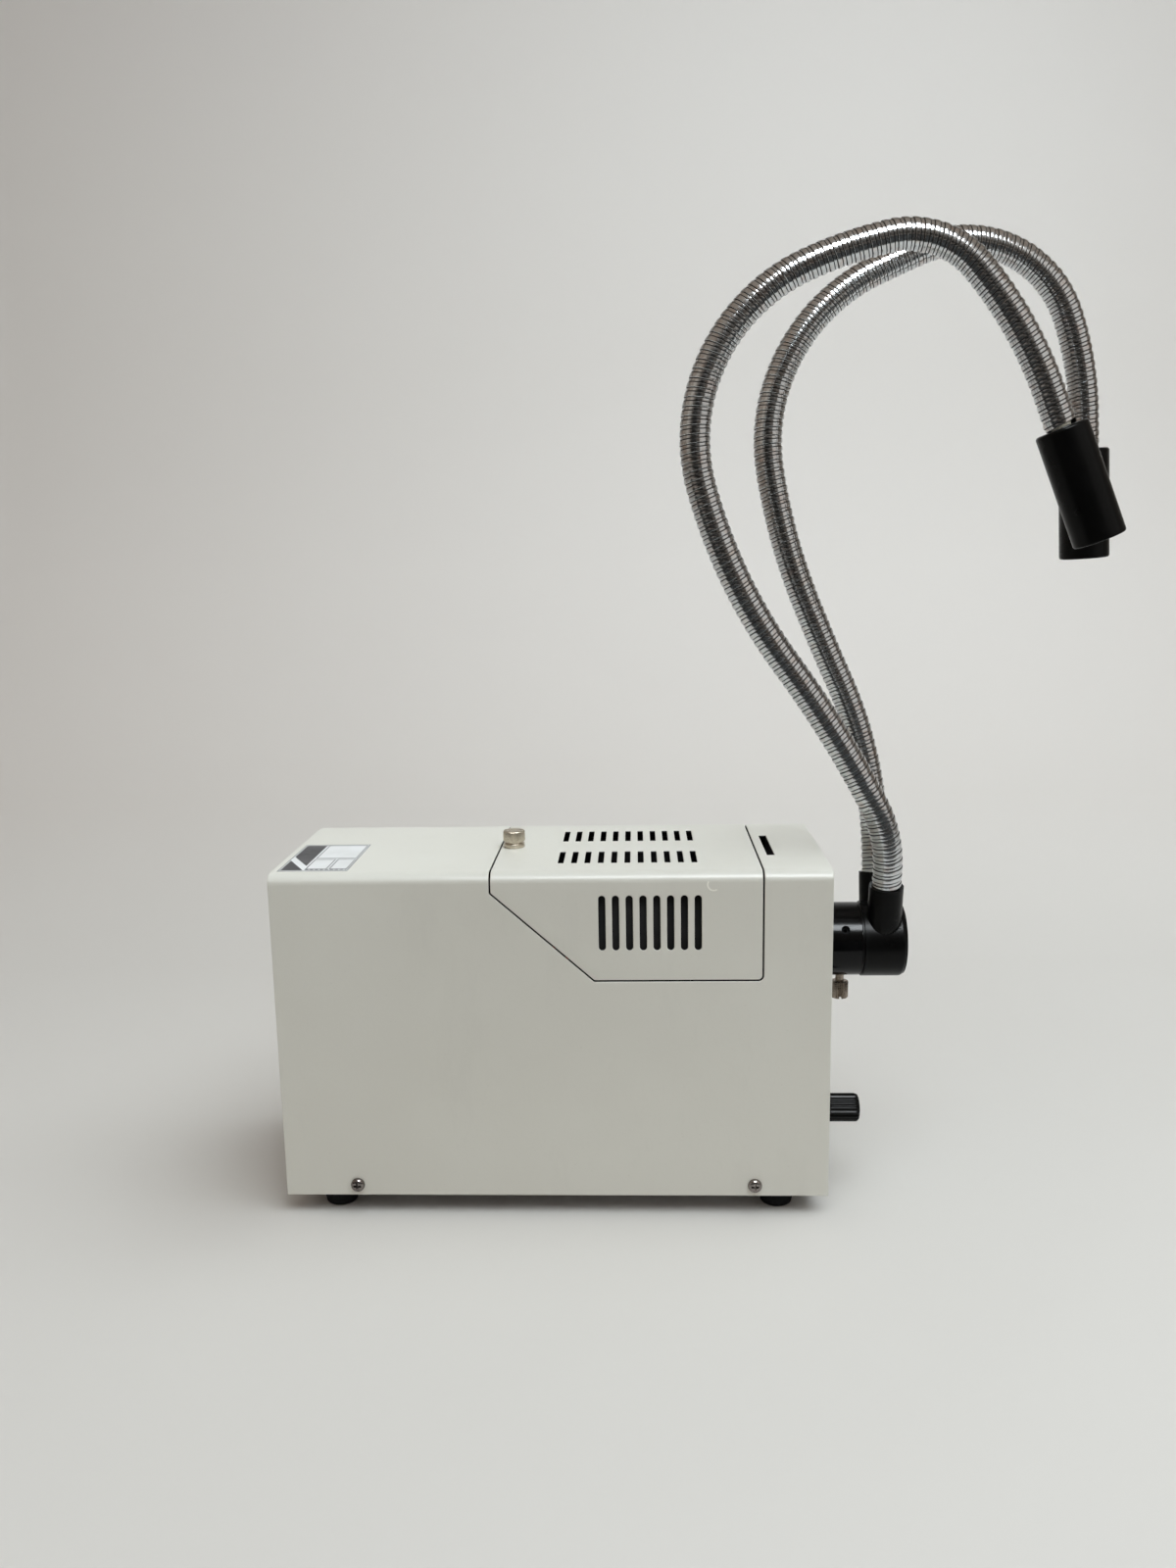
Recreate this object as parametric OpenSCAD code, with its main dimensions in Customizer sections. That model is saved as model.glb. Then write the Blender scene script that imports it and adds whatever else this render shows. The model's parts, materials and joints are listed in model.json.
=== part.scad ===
// Fiber optic illuminator: a sheet steel lamp house with a lift-off cover and a
// light guide that splits into two flexible arms, each with a focusing lens tube.
// X runs from the rear to the front, Y from the near side to the far side, Z is up.
// The origin is on the table, under the middle of the case.

/* [Case] */
// Length of the case, rear to front
case_l = 245; // [235:1:280]
// Width of the case
case_w = 98.5; // [96:0.5:112]
// Height of the steel shell
case_h = 150.4; // [148:0.2:165]
// Radius of the shell's two long top edges
case_r = 5.1; // [3:0.1:7]
// Thickness of the shell and cover sheet
sheet_t = 1.2; // [1:0.1:1.5]
// How far each end panel sits inside the shell's end
panel_inset = 3; // [1.5:0.5:5]
// Thickness of the end panels and the base tray
panel_t = 1.5; // [1:0.1:2]
// Height of the base tray's side flanges
tray_flange_h = 13; // [11:1:18]
// Height of the rubber feet
foot_h = 8.5; // [6:0.5:12]
// Diameter of the rubber feet
foot_d = 16; // [13:0.5:18]
// Distance of the feet from the case's ends
foot_end = 22; // [16:1:30]
// Distance of the feet from the case's sides
foot_side = 13; // [11:0.5:18]

/* [Lamp cover] */
// Rear edge of the cover, from the case's front end
cover_back = 148.3; // [144:0.5:152]
// Front edge of the cover, from the case's front end
cover_front = 29.5; // [29:0.5:31]
// How far the cover's skirts reach down the sides
cover_drop = 49.3; // [47:0.5:54]
// Length of the upright edge above the slanted one
cover_knee = 9.3; // [7:0.1:12]
// Run of the slanted edge along the case
cover_slant = 44.9; // [40:0.5:50]
// Gap between the cover and the shell
cover_gap = 0.65; // [0.3:0.05:0.8]
// Number of slots in each top row
top_slots = 11; // [7:1:11]
// Number of slots in each skirt
side_slots = 8; // [5:1:9]
// Distance from slot to slot
slot_pitch = 5.94; // [5.5:0.02:6.2]
// Width of the top slots
top_slot_w = 2.5; // [2:0.1:3]
// Length of the top slots
top_slot_l = 22; // [18:0.5:26]
// Distance of the top rows from the middle
top_row_y = 21.2; // [18:0.2:24]
// Width of the side slots
side_slot_w = 3; // [2:0.1:3.4]
// Length of the side slots
side_slot_l = 24.5; // [20:0.5:28]
// Width of the filter slot in front of the cover
filter_slot_w = 3.3; // [2.5:0.1:4]
// Length of the filter slot
filter_slot_l = 40; // [36:1:44]
// Filter slot's middle, from the case's front end
filter_back = 23.8; // [23:0.1:24.5]

/* [Screws] */
// Diameter of a knurled thumbscrew head
thumb_d = 9.6; // [8:0.2:12]
// Height of a knurled thumbscrew head
thumb_h = 7.4; // [6:0.2:9]
// Diameter of the thumbscrews' shanks
thumb_shank_d = 3.9; // [3:0.1:4.5]
// Exposed shank of the light guide's thumbscrew
thumb_gap = 4.5; // [2:0.5:8]
// Thumbscrew's distance behind the cover's rear edge, inside the cover
thumb_in = 6.7; // [6:0.1:9]
// Head diameter of the case screws
screw_head_d = 6.3; // [5:0.1:7]
// Shank diameter of the case screws
screw_d = 3; // [2.5:0.1:3.5]
// Height of the side screws above the shell's lower edge
side_screw_z = 5.3; // [4.5:0.1:7]
// Distance of the side screws from the case's ends
side_screw_end = 32.8; // [25:0.5:45]

/* [Light guide socket] */
// Height of the light guide's axis above the shell's lower edge
guide_h = 104.8; // [100:0.2:108]
// Outer diameter of the socket
socket_d = 34.2; // [32:0.2:38]
// Length of the socket in front of the panel
socket_l = 21.9; // [20:0.1:26]
// Outer diameter of the steel ferrule that the socket holds
ferrule_d = 20; // [16:0.5:22]
// Wall of the steel ferrule
ferrule_wall = 2.5; // [2:0.5:4]
// Diameter of the socket's threaded neck inside the case
neck_d = 28; // [26:0.5:30]
// Length of the neck behind the panel's front face
neck_l = 15.5; // [13:0.5:16]
// Distance of the clamp screw from the socket's front face
clamp_back = 7.6; // [7:0.2:12]

/* [Light guide head] */
// Diameter of the branching head
head_d = 35; // [34:0.2:40]
// Length of the branching head
head_l = 20.3; // [19:0.1:28]
// Outer diameter of the two hose bosses
boss_d = 15.5; // [14.5:0.1:15.5]
// Distance between the boss axes at the height of the guide's axis
boss_pitch = 16.2; // [15.8:0.2:18]
// Lean of each boss away from the other
boss_lean = 10; // [6:1:14]
// Height of the bosses' rims above the guide's axis
boss_h = 29; // [27:0.5:34]
// Boss axes, from the head's rear face
boss_x = 10.3; // [9:0.1:12]

/* [Arms] */
// Outer diameter of the stripwound hose
hose_d = 13.2; // [12:0.1:13.4]
// Bore of the hose
hose_bore = 10; // [8:0.2:10.4]
// Depth of the groove between two turns
rib_depth = 0.8; // [0.4:0.1:1]
// Distance from turn to turn, as modelled
rib_pitch = 4.4; // [4:0.2:6]
// Diameter of the fibre bundle in each arm
bundle_d = 8; // [5:0.5:8.5]
// Lean that the arms settle to, away from each other
arm_lean = 1.2; // [0:0.2:3]
// Length over which the boss's lean goes over into the arm's
lean_run = 42; // [30:2:80]
// Outer diameter of the lens tubes
lens_tube_d = 21.8; // [21:0.2:26]
// Length of the lens tubes
lens_tube_l = 49; // [45:1:60]
// Length of the near arm's hose above its boss's rim
near_arm_l = 456; // [430:1:475]
// Length of the far arm's hose above its boss's rim
far_arm_l = 462; // [435:1:480]
// Length of the sleeve on the end of each hose
sleeve_l = 22; // [19:1:26]
// Travel of the lens tubes along the sleeves
focus_travel = 8; // [4:1:10]

/* [Controls] */
// Diameter of the brightness knob
knob_d = 13; // [12:0.2:18]
// Length of the brightness knob
knob_l = 16.5; // [14:0.5:24]
// Height of the knob and the switch above the shell's lower edge
control_h = 29; // [24:0.2:34]
// Distance of the knob from the middle, on the near side
knob_y = 20; // [16:0.5:26]
// Distance of the switch from the middle, on the far side
switch_y = 20; // [16:0.5:26]

/* [Rear end] */
// Side of the square fan
fan_w = 80; // [76:1:80]
// Depth of the fan
fan_t = 25; // [20:1:28]
// Height of the fan's middle above the shell's lower edge
fan_h = 95; // [93:0.5:100]
// Height of the mains inlet's middle above the shell's lower edge
inlet_h = 27; // [25:0.5:30]
// Distance of the mains inlet from the middle
inlet_y = 22; // [18:0.5:26]

/* [Hidden] */

// Fits
run_fit = 0.05;   // radial clearance of a shaft or slide in its bore
snug = 0.1;       // gap between fixed sheet parts
clear = 0.3;      // gap between bodies that move apart
past = 1;         // how far a cutter runs past a face

// Places that follow from the case
front_x = case_l / 2;
side_y = case_w / 2;
base_z = foot_h;
top_z = base_z + case_h;
panel_x = front_x - panel_inset;
inner_w = case_w - 2 * sheet_t;
tray_top = base_z + panel_t;
ceiling_z = top_z - sheet_t;
guide_z = base_z + guide_h;

// Lamp cover outline, seen from the side
cover_x0 = front_x - cover_back;
cover_x1 = front_x - cover_front;
cover_z = top_z - cover_drop;
side_slots_back = 12.3;
top_slots_on = 0.5;
side_slot_share = 0.5375;
knee_z = top_z - cover_knee;
toe_x = cover_x0 + cover_slant;
cover_corner = 2.5;
thumb_x = cover_x0 + thumb_in;
slot_x = (toe_x + cover_x1) / 2 - side_slots_back;
top_slot_x = (cover_x0 + cover_x1) / 2 + top_slots_on;
side_slot_z = cover_z + cover_drop * side_slot_share;
filter_x = front_x - filter_back;

// ---------- shared shapes ----------

// Lays a drawing of the case's cross section along X
module along_x(length) {
    translate([-length / 2, 0, 0])
        rotate([90, 0, 90])
            linear_extrude(length) children();
}

// Draws on the XZ plane and extrudes across the case
module across(width) {
    translate([0, width / 2, 0])
        rotate([90, 0, 0])
            linear_extrude(width) children();
}

// Cylinder from a point along +X
module rod_x(length, d) {
    rotate([0, 90, 0]) cylinder(h = length, d = d, $fn = 64);
}

module tube_x(length, d, bore) {
    difference() {
        rod_x(length, d);
        translate([-past, 0, 0]) rod_x(length + 2 * past, bore);
    }
}

// Cross section of the shell, its lower edge at 0, with rounded upper corners
module arch(width, height, radius) {
    translate([-width / 2, 0]) square([width, height - radius]);
    translate([radius - width / 2, 0]) square([width - 2 * radius, height]);
    for (side = [-1, 1])
        translate([side * (width / 2 - radius), height - radius]) circle(r = radius, $fn = 64);
}

// The shell's inner cross section, drawn in by a gap
module inner_arch(gap) {
    arch(inner_w - 2 * gap, case_h - sheet_t - gap, case_r - sheet_t);
}

// The sheet's own cross section, open below
module case_section() {
    difference() {
        arch(case_w, case_h, case_r);
        inner_arch(0);
        translate([-inner_w / 2, -past]) square([inner_w, 2 * past]);
    }
}

// Cover outline on the XZ plane, drawn in by a gap
function cover_points(gap) =
    let (run = toe_x - cover_x0, fall = cover_z - knee_z, len = norm([run, fall]),
        dir = [run, fall] / len, in = [-dir[1], dir[0]],
        left = cover_x0 + gap, low = cover_z + gap, right = cover_x1 - gap,
        t_knee = (gap - gap * in[0]) / dir[0],
        t_toe = (low - knee_z - gap * in[1]) / dir[1],
        r = cover_corner - gap, high = top_z + 10)
    concat([[left, high], [left, knee_z + gap * in[1] + t_knee * dir[1]],
            [cover_x0 + gap * in[0] + t_toe * dir[0], low]],
        [for (a = [-90 : 15 : 0]) [right - r + r * cos(a), low + r + r * sin(a)]],
        [[right, high]]);

// Slot with round ends, standing up, cut through both skirts
module round_slot(width, length, depth) {
    rotate([90, 0, 0]) {
        translate([-width / 2, -(length - width) / 2, -depth / 2])
            cube([width, length - width, depth]);
        for (end = [-1, 1])
            translate([0, end * (length - width) / 2, -depth / 2])
                cylinder(h = depth, d = width, $fn = 24);
    }
}

module top_slot(width, length) {
    translate([-width / 2, -length / 2, -sheet_t - past])
        cube([width, length, sheet_t + 2 * past]);
}

// Thumbscrew head: a plain collar, a groove and the grip, slotted for a screwdriver
collar_share = 0.22;
groove_share = 0.08;
collar_d_share = 0.96;
groove_d_share = 0.8;
slot_w = 1.2;
slot_depth = 1.3;
module thumb_head(d, h) {
    collar = h * collar_share;
    groove = h * groove_share;
    cylinder(h = collar, d = d * collar_d_share, $fn = 48);
    translate([0, 0, collar]) cylinder(h = groove, d = d * groove_d_share, $fn = 48);
    translate([0, 0, collar + groove])
        difference() {
            cylinder(h = h - collar - groove, d = d, $fn = 48);
            translate([-d, -slot_w / 2, h - collar - groove - slot_depth])
                cube([2 * d, slot_w, slot_depth + past]);
        }
}

head_h_share = 0.36;
head_top_share = 0.66;
recess_l_share = 0.54;
recess_w_share = 0.12;
// Pan head with a cross recess, its seat at 0 and its head along +Z
module pan_head(d, h) {
    difference() {
        union() {
            cylinder(h = h / 2, d = d, $fn = 40);
            translate([0, 0, h / 2]) cylinder(h = h / 2, d1 = d, d2 = d * head_top_share, $fn = 40);
        }
        for (turn = [0, 90])
            rotate([0, 0, turn])
                translate([-d * recess_l_share / 2, -d * recess_w_share / 2, h * 0.45])
                    cube([d * recess_l_share, d * recess_w_share, h]);
    }
}

module pan_screw(head, shank, length) {
    head_h = head * head_h_share;
    pan_head(head, head_h);
    translate([0, 0, -length]) cylinder(h = length, d = shank, $fn = 32);
}

function joined(lists) = [for (list = lists, item = list) item];

// Closed skin through rings, the last ring joined to the first
module ring_skin(rings, count) {
    total = len(rings);
    faces = joined([for (i = [0 : total - 1], k = [0 : count - 1])
        let (a = i * count + k, b = i * count + (k + 1) % count,
            c = ((i + 1) % total) * count + k, d = ((i + 1) % total) * count + (k + 1) % count)
        [[a, c, b], [b, c, d]]]);
    polyhedron(points = joined(rings), faces = faces, convexity = 8);
}

// Solid rod through rings, closed at both ends
module rod_skin(rings, count) {
    last = (len(rings) - 1) * count;
    sides = joined([for (i = [0 : len(rings) - 2], k = [0 : count - 1])
        let (a = i * count + k, b = i * count + (k + 1) % count)
        [[a, a + count, b], [b, a + count, b + count]]]);
    ends = joined([for (k = [1 : count - 2]) [[0, k, k + 1], [last, last + k + 1, last + k]]]);
    polyhedron(points = joined(rings), faces = concat(sides, ends), convexity = 8);
}

// A lead: a many-sided tube along a few points, its rings square to the way it goes
lead_sides = 8;
function unit(v) = v / norm(v);
function lead_way(points, i) =
    let (last = len(points) - 1,
        before = unit(points[max(i, 1)] - points[max(i, 1) - 1]),
        after = unit(points[min(i, last - 1) + 1] - points[min(i, last - 1)]))
    unit(before + after);
function lead_side(points, i) =
    let (way = lead_way(points, i), from = i == 0 ? [0.3, 0.5, 0.8] : lead_side(points, i - 1))
    unit(from - way * (way * from));
function lead_ring(points, i, d) =
    let (u = lead_side(points, i), v = cross(lead_way(points, i), u))
    [for (k = [0 : lead_sides - 1])
        points[i] + d / 2 * (cos(k * 360 / lead_sides) * u + sin(k * 360 / lead_sides) * v)];

module lead(points, d) {
    rod_skin([for (i = [0 : len(points) - 1]) lead_ring(points, i, d)], lead_sides);
}

// ---------- case ----------

module case_shell() {
    color([0.86, 0.85, 0.80])
        difference() {
            translate([0, 0, base_z])
                along_x(case_l)
                    case_section();
            across(case_w + 2 * past) polygon(cover_points(0));
            translate([filter_x, 0, top_z]) top_slot(filter_slot_w, filter_slot_l);
            side_screw_places() translate([0, 0, -sheet_t - past])
                cylinder(h = sheet_t + 2 * past, d = screw_d + 2 * clear, $fn = 32);
        }
}

// Places children at the four side screws, +Z pointing out of the case
module side_screw_places() {
    for (side = [-1, 1], end = [-1, 1])
        translate([end * (front_x - side_screw_end), side * side_y, base_z + side_screw_z])
            rotate([-side * 90, 0, 0]) children();
}

module lamp_cover() {
    color([0.88, 0.87, 0.82])
        difference() {
            intersection() {
                translate([0, 0, base_z])
                    along_x(case_l) case_section();
                across(case_w + 2 * past) polygon(cover_points(cover_gap));
            }
            for (i = [0 : top_slots - 1], side = [-1, 1])
                translate([top_slot_x + (i - (top_slots - 1) / 2) * slot_pitch,
                        side * top_row_y, top_z])
                    top_slot(top_slot_w, top_slot_l);
            for (i = [0 : side_slots - 1])
                translate([slot_x + (i - (side_slots - 1) / 2) * slot_pitch, 0, side_slot_z])
                    round_slot(side_slot_w, side_slot_l, case_w + 2 * past);
            translate([thumb_x, 0, top_z - sheet_t - past])
                cylinder(h = sheet_t + 2 * past, d = thumb_shank_d + 2 * run_fit, $fn = 32);
        }
}

bracket_t = 1.5;
bracket_l = 18;
bracket_w = 76;
thread_boss_d = 9;
thread_boss_h = 6;
cover_shank_l = 9;

module cover_screw() {
    color([0.72, 0.69, 0.62])
        translate([thumb_x, 0, top_z + snug]) {
            thumb_head(thumb_d, thumb_h);
            translate([0, 0, -cover_shank_l]) cylinder(h = cover_shank_l, d = thumb_shank_d, $fn = 32);
        }
}

// Strip welded under the shell's top that carries the cover's rear edge and takes its screw
module cover_bracket() {
    strip_x = cover_x0 - bracket_l / 3;
    color([0.62, 0.63, 0.64])
        difference() {
            union() {
                translate([strip_x, -bracket_w / 2, ceiling_z - snug - bracket_t])
                    cube([bracket_l, bracket_w, bracket_t]);
                translate([strip_x, -bracket_w / 2, ceiling_z - snug - past / 2])
                    cube([cover_x0 - strip_x - clear, bracket_w, snug + past / 2]);
                translate([thumb_x, 0, ceiling_z - snug - bracket_t - thread_boss_h])
                    cylinder(h = thread_boss_h, d = thread_boss_d, $fn = 40);
            }
            translate([thumb_x, 0, ceiling_z - 2 * thread_boss_h])
                cylinder(h = 3 * thread_boss_h, d = thumb_shank_d + 2 * run_fit, $fn = 32);
        }
}

tray_l = case_l - 2 * panel_inset;
tray_w = inner_w - 2 * snug;
module chassis_tray() {
    flange_l = tray_l - 2 * panel_t - 2 * snug;
    color([0.60, 0.61, 0.62])
        difference() {
            union() {
                translate([-tray_l / 2, -tray_w / 2, base_z]) cube([tray_l, tray_w, panel_t]);
                for (side = [-1, 1])
                    translate([-flange_l / 2, side * (tray_w - panel_t) / 2 - panel_t / 2, base_z])
                        cube([flange_l, panel_t, tray_flange_h]);
            }
            side_screw_places() translate([0, 0, -sheet_t - 2 * panel_t - past])
                cylinder(h = 2 * panel_t + 2 * past, d = screw_d + 2 * run_fit, $fn = 32);
            foot_places() translate([0, 0, base_z - past])
                cylinder(h = panel_t + 2 * past, d = screw_d + 2 * run_fit, $fn = 32);
        }
}

module foot_places() {
    for (end = [-1, 1], side = [-1, 1])
        translate([end * (front_x - foot_end), side * (side_y - foot_side), 0]) children();
}

foot_recess_d = 8;
foot_recess_h = 4;
module feet() {
    color([0.06, 0.06, 0.06])
        foot_places()
            difference() {
                union() {
                    cylinder(h = foot_h / 2, d1 = foot_d - 2, d2 = foot_d, $fn = 48);
                    translate([0, 0, foot_h / 2]) cylinder(h = foot_h / 2, d = foot_d, $fn = 48);
                }
                translate([0, 0, -past]) cylinder(h = foot_recess_h + past, d = foot_recess_d, $fn = 40);
                cylinder(h = foot_h + past, d = screw_d + 2 * run_fit, $fn = 32);
            }
}

module foot_screws() {
    color([0.70, 0.70, 0.70])
        foot_places()
            translate([0, 0, foot_recess_h]) rotate([180, 0, 0])
                pan_screw(screw_head_d, screw_d, foot_h + panel_t + 2 - foot_recess_h);
}

module side_screws() {
    color([0.78, 0.78, 0.77])
        side_screw_places() pan_screw(screw_head_d, screw_d, sheet_t + panel_t + 3);
}

label_l = 31;
label_w = 50;
label_t = 0.2;
label_back = 3.2;
label_y = -19;
module rating_label() {
    color([0.93, 0.93, 0.92])
        translate([-front_x + label_back, label_y - label_w / 2, top_z])
            cube([label_l, label_w, label_t]);
}

// Blank end panel, its outer face at x = 0 and the metal behind it
module blank_panel() {
    difference() {
        translate([-panel_t / 2, 0, base_z]) along_x(panel_t) inner_arch(snug);
        translate([-2 * panel_t, -case_w, 0]) cube([4 * panel_t, 2 * case_w, tray_top]);
    }
}

bush_d = 7;
switch_hole_w = 12.9;
switch_hole_h = 19.2;
module front_panel() {
    color([0.80, 0.79, 0.74])
        translate([panel_x, 0, 0])
            difference() {
                blank_panel();
                translate([-2 * panel_t, 0, guide_z]) rod_x(4 * panel_t, neck_d + 2 * run_fit);
                translate([-2 * panel_t, -knob_y, base_z + control_h])
                    rod_x(4 * panel_t, bush_d + 2 * run_fit);
                translate([-2 * panel_t, switch_y - switch_hole_w / 2,
                        base_z + control_h - switch_hole_h / 2])
                    cube([4 * panel_t, switch_hole_w, switch_hole_h]);
            }
}

fan_bore = fan_w - 5;
fan_z = base_z + fan_h;
fan_screw_pitch = fan_w * 0.894;
grille_bar = 2.4;
grille_gap = 3.6;
inlet_w = 27;
inlet_hole_h = 31;
inlet_z = base_z + inlet_h;
module fan_screw_places() {
    for (side = [-1, 1], up = [-1, 1])
        translate([-panel_x, side * fan_screw_pitch / 2, fan_z + up * fan_screw_pitch / 2])
            rotate([0, -90, 0]) children();
}

module rear_panel() {
    slots = floor((fan_bore - 6) / (grille_bar + grille_gap));
    color([0.80, 0.79, 0.74])
        difference() {
            translate([-panel_x + panel_t, 0, 0]) blank_panel();
            intersection() {
                translate([-panel_x - panel_t, 0, fan_z]) rod_x(4 * panel_t, fan_bore - 6);
                for (i = [0 : slots - 1])
                    translate([-panel_x - 2 * panel_t, -fan_bore / 2,
                            fan_z + (i - (slots - 1) / 2) * (grille_bar + grille_gap) - grille_gap / 2])
                        cube([6 * panel_t, fan_bore, grille_gap]);
            }
            fan_screw_places() translate([0, 0, -2 * panel_t])
                cylinder(h = 4 * panel_t, d = fan_screw_d + 2 * run_fit, $fn = 32);
            translate([-panel_x - 2 * panel_t, inlet_y - inlet_w / 2, inlet_z - inlet_hole_h / 2])
                cube([6 * panel_t, inlet_w, inlet_hole_h]);
        }
}

// ---------- light guide socket ----------

socket_x = panel_x + socket_l;
clamp_x = socket_x - clamp_back;
neck_x = panel_x - neck_l;
set_screw_d = 3.9;
set_screw_l = 4.5;
set_angle = 60;
socket_bore = ferrule_d + 2 * run_fit;

module guide_socket() {
    color([0.05, 0.05, 0.06])
        difference() {
            union() {
                translate([panel_x, 0, guide_z]) rod_x(socket_l, socket_d);
                translate([neck_x, 0, guide_z]) rod_x(neck_l + past, neck_d);
            }
            translate([neck_x - past, 0, guide_z]) rod_x(neck_l + socket_l + 2 * past, socket_bore);
            translate([clamp_x, 0, guide_z - socket_d])
                cylinder(h = socket_d, d = thumb_shank_d + 2 * run_fit, $fn = 32);
            set_screw_place() cylinder(h = socket_d, d = set_screw_d + 2 * run_fit, $fn = 32);
        }
}

// Points +Z out of the socket's axis towards the near side and up
module set_screw_place() {
    translate([clamp_x, 0, guide_z]) rotate([set_angle, 0, 0]) children();
}

module socket_set_screw() {
    color([0.15, 0.15, 0.16])
        set_screw_place()
            translate([0, 0, socket_bore / 2 + clear])
                difference() {
                    cylinder(h = set_screw_l, d = set_screw_d, $fn = 32);
                    translate([0, 0, set_screw_l / 2])
                        cylinder(h = set_screw_l, d = set_screw_d / 2, $fn = 6);
                }
}

nut_t = 5;
nut_rim = 4;
spanner_slot = 3;
module socket_nut() {
    color([0.66, 0.66, 0.67])
        translate([panel_x - panel_t - nut_t, 0, guide_z])
            difference() {
                rod_x(nut_t, neck_d + 2 * nut_rim);
                translate([-past, 0, 0]) rod_x(nut_t + 2 * past, neck_d + 2 * run_fit);
                for (turn = [0 : 90 : 270])
                    rotate([turn, 0, 0])
                        translate([-past, -spanner_slot / 2, neck_d / 2 + nut_rim / 2])
                            cube([nut_t + 2 * past, spanner_slot, nut_rim]);
            }
}

module guide_clamp_screw() {
    head_z = guide_z - socket_d / 2 - thumb_gap;
    tip_z = guide_z - ferrule_d / 2 - clear;
    color([0.66, 0.58, 0.46])
        translate([clamp_x, 0, head_z]) {
            rotate([180, 0, 0]) thumb_head(thumb_d, thumb_h);
            cylinder(h = tip_z - head_z, d = thumb_shank_d, $fn = 32);
        }
}

// ---------- light guide ----------

head_x = socket_x + clear;
ferrule_in = boss_x - bundle_d / 2 - clear;
head_edge_r = 2.4;
head_rim = 1;
ferrule_bore = ferrule_d - 2 * ferrule_wall;
trunk_most = 12;
trunk_d = min(ferrule_bore - 2 * clear, trunk_most);
boss_at = head_x + boss_x;
rim_y = boss_pitch / 2 + boss_h * tan(boss_lean);
rim_z = guide_z + boss_h;
hose_in = 6;
boss_bore = hose_d + 2 * snug;

module guide_ferrule() {
    color([0.74, 0.74, 0.75])
        translate([neck_x, 0, guide_z])
            tube_x(head_x + ferrule_in - neck_x, ferrule_d, ferrule_bore);
}

// Points +Z up a boss, from the height of the guide's axis
module boss_place(side) {
    translate([boss_at, side * boss_pitch / 2, guide_z]) rotate([-side * boss_lean, 0, 0]) children();
}

boss_len = boss_h / cos(boss_lean);
boss_ball = 11.5;
// Boss with a ball end where it runs into the head's side
module boss_body() {
    translate([0, 0, boss_ball]) {
        cylinder(h = boss_len - boss_ball, d = boss_d, $fn = 64);
        rotate_extrude($fn = 64)
            intersection() {
                circle(d = boss_d, $fn = 64);
                translate([0, -boss_d]) square([boss_d, boss_d + past]);
            }
    }
}

module y_head() {
    color([0.07, 0.07, 0.07])
        difference() {
            union() {
                translate([head_x, 0, guide_z])
                    rotate([0, 90, 0])
                        rotate_extrude($fn = 96) head_profile();
                for (side = [-1, 1]) boss_place(side) boss_body();
            }
            translate([head_x - past, 0, guide_z])
                rod_x(ferrule_in + clear + past, ferrule_d + 2 * run_fit);
            translate([head_x - past, 0, guide_z]) rod_x(boss_x + boss_d / 2, trunk_d + 2 * clear);
            for (side = [-1, 1])
                boss_place(side) {
                    cylinder(h = boss_len + past, d = bundle_d + 2 * clear, $fn = 48);
                    translate([0, 0, boss_len - hose_in - clear])
                        cylinder(h = hose_in + clear + past, d = boss_bore, $fn = 64);
                }
        }
}

// Half section of the head: a small step at the rear, a rounded front edge
module head_profile() {
    square([head_d / 2 - head_rim, head_l]);
    translate([0, head_rim]) square([head_d / 2, head_l - head_rim - head_edge_r]);
    translate([0, head_rim]) square([head_d / 2 - head_edge_r, head_l - head_rim]);
    translate([head_d / 2 - head_edge_r, head_l - head_edge_r])
        intersection() {
            circle(r = head_edge_r, $fn = 48);
            square(head_edge_r);
        }
}

// Fibre bundle: one round input end that divides between the two bosses
module fibre_trunk() {
    color([0.85, 0.80, 0.68]) {
        translate([neck_x, 0, guide_z]) rod_x(boss_at - neck_x + boss_d / 4, trunk_d);
        for (side = [-1, 1])
            boss_place(side) cylinder(h = boss_len - hose_in - clear, d = bundle_d, $fn = 48);
    }
}

// ---------- arms ----------

// Each arm's middle line, from its boss's rim on: runs of constant curvature in the
// XZ plane, each given as its share of the arm and the angle that it turns towards +X
near_bends = [[8, 0], [31.7, -27.7], [75.6, -8.7], [84.3, 20.6], [107.7, 83.5], [34.4, 11.5],
    [40.2, 60], [60.1, 19.4], [14, 0]];
far_bends = [[8, 0], [85.2, -24.5], [40.2, 2.2], [62.4, 13], [105.9, 76], [18.5, 0.1],
    [83, 92], [44.8, 17.5], [14, 0]];
function shares_of(bends, i = 0) = i == len(bends) ? 0 : bends[i][0] + shares_of(bends, i + 1);
function in_mm(bends, length) = [for (run = bends) [run[0] * length / shares_of(bends), run[1]]];
near_runs = in_mm(near_bends, near_arm_l);
far_runs = in_mm(far_bends, far_arm_l);
function arm_end(side) = side < 0 ? near_arm_l : far_arm_l;
// Where the arm's flexible stretches begin and end, in the same shares
flex_marks = [50, 235, 295, 400];
flex_at = [for (mark = flex_marks) mark * near_arm_l / shares_of(near_bends)];
flex_cuts = [[-hose_in, flex_at[0]], [flex_at[1], flex_at[2]], [flex_at[3]]];

// One run: a place [x, z, heading], the run's length and turn, and how far along it
function along_run(from, run, far) =
    let (turn = run[1] * far / run[0], to = from[2] + turn)
    abs(turn) < 0.001
        ? [from[0] + far * sin(from[2]), from[1] + far * cos(from[2]), to]
        : let (r = far * 180 / (turn * PI))
            [from[0] + r * (cos(from[2]) - cos(to)), from[1] + r * (sin(to) - sin(from[2])), to];

function rest_of(list) = [for (i = [1 : 1 : len(list) - 1]) list[i]];

// Place and heading at a length along the runs; the last run goes on straight
function along_runs(bends, far, from) =
    len(bends) == 0 ? along_run(from, [1, 0], far)
    : far <= bends[0][0] ? along_run(from, bends[0], far)
    : along_runs(rest_of(bends), far - bends[0][0], along_run(from, bends[0], bends[0][0]));

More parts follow.
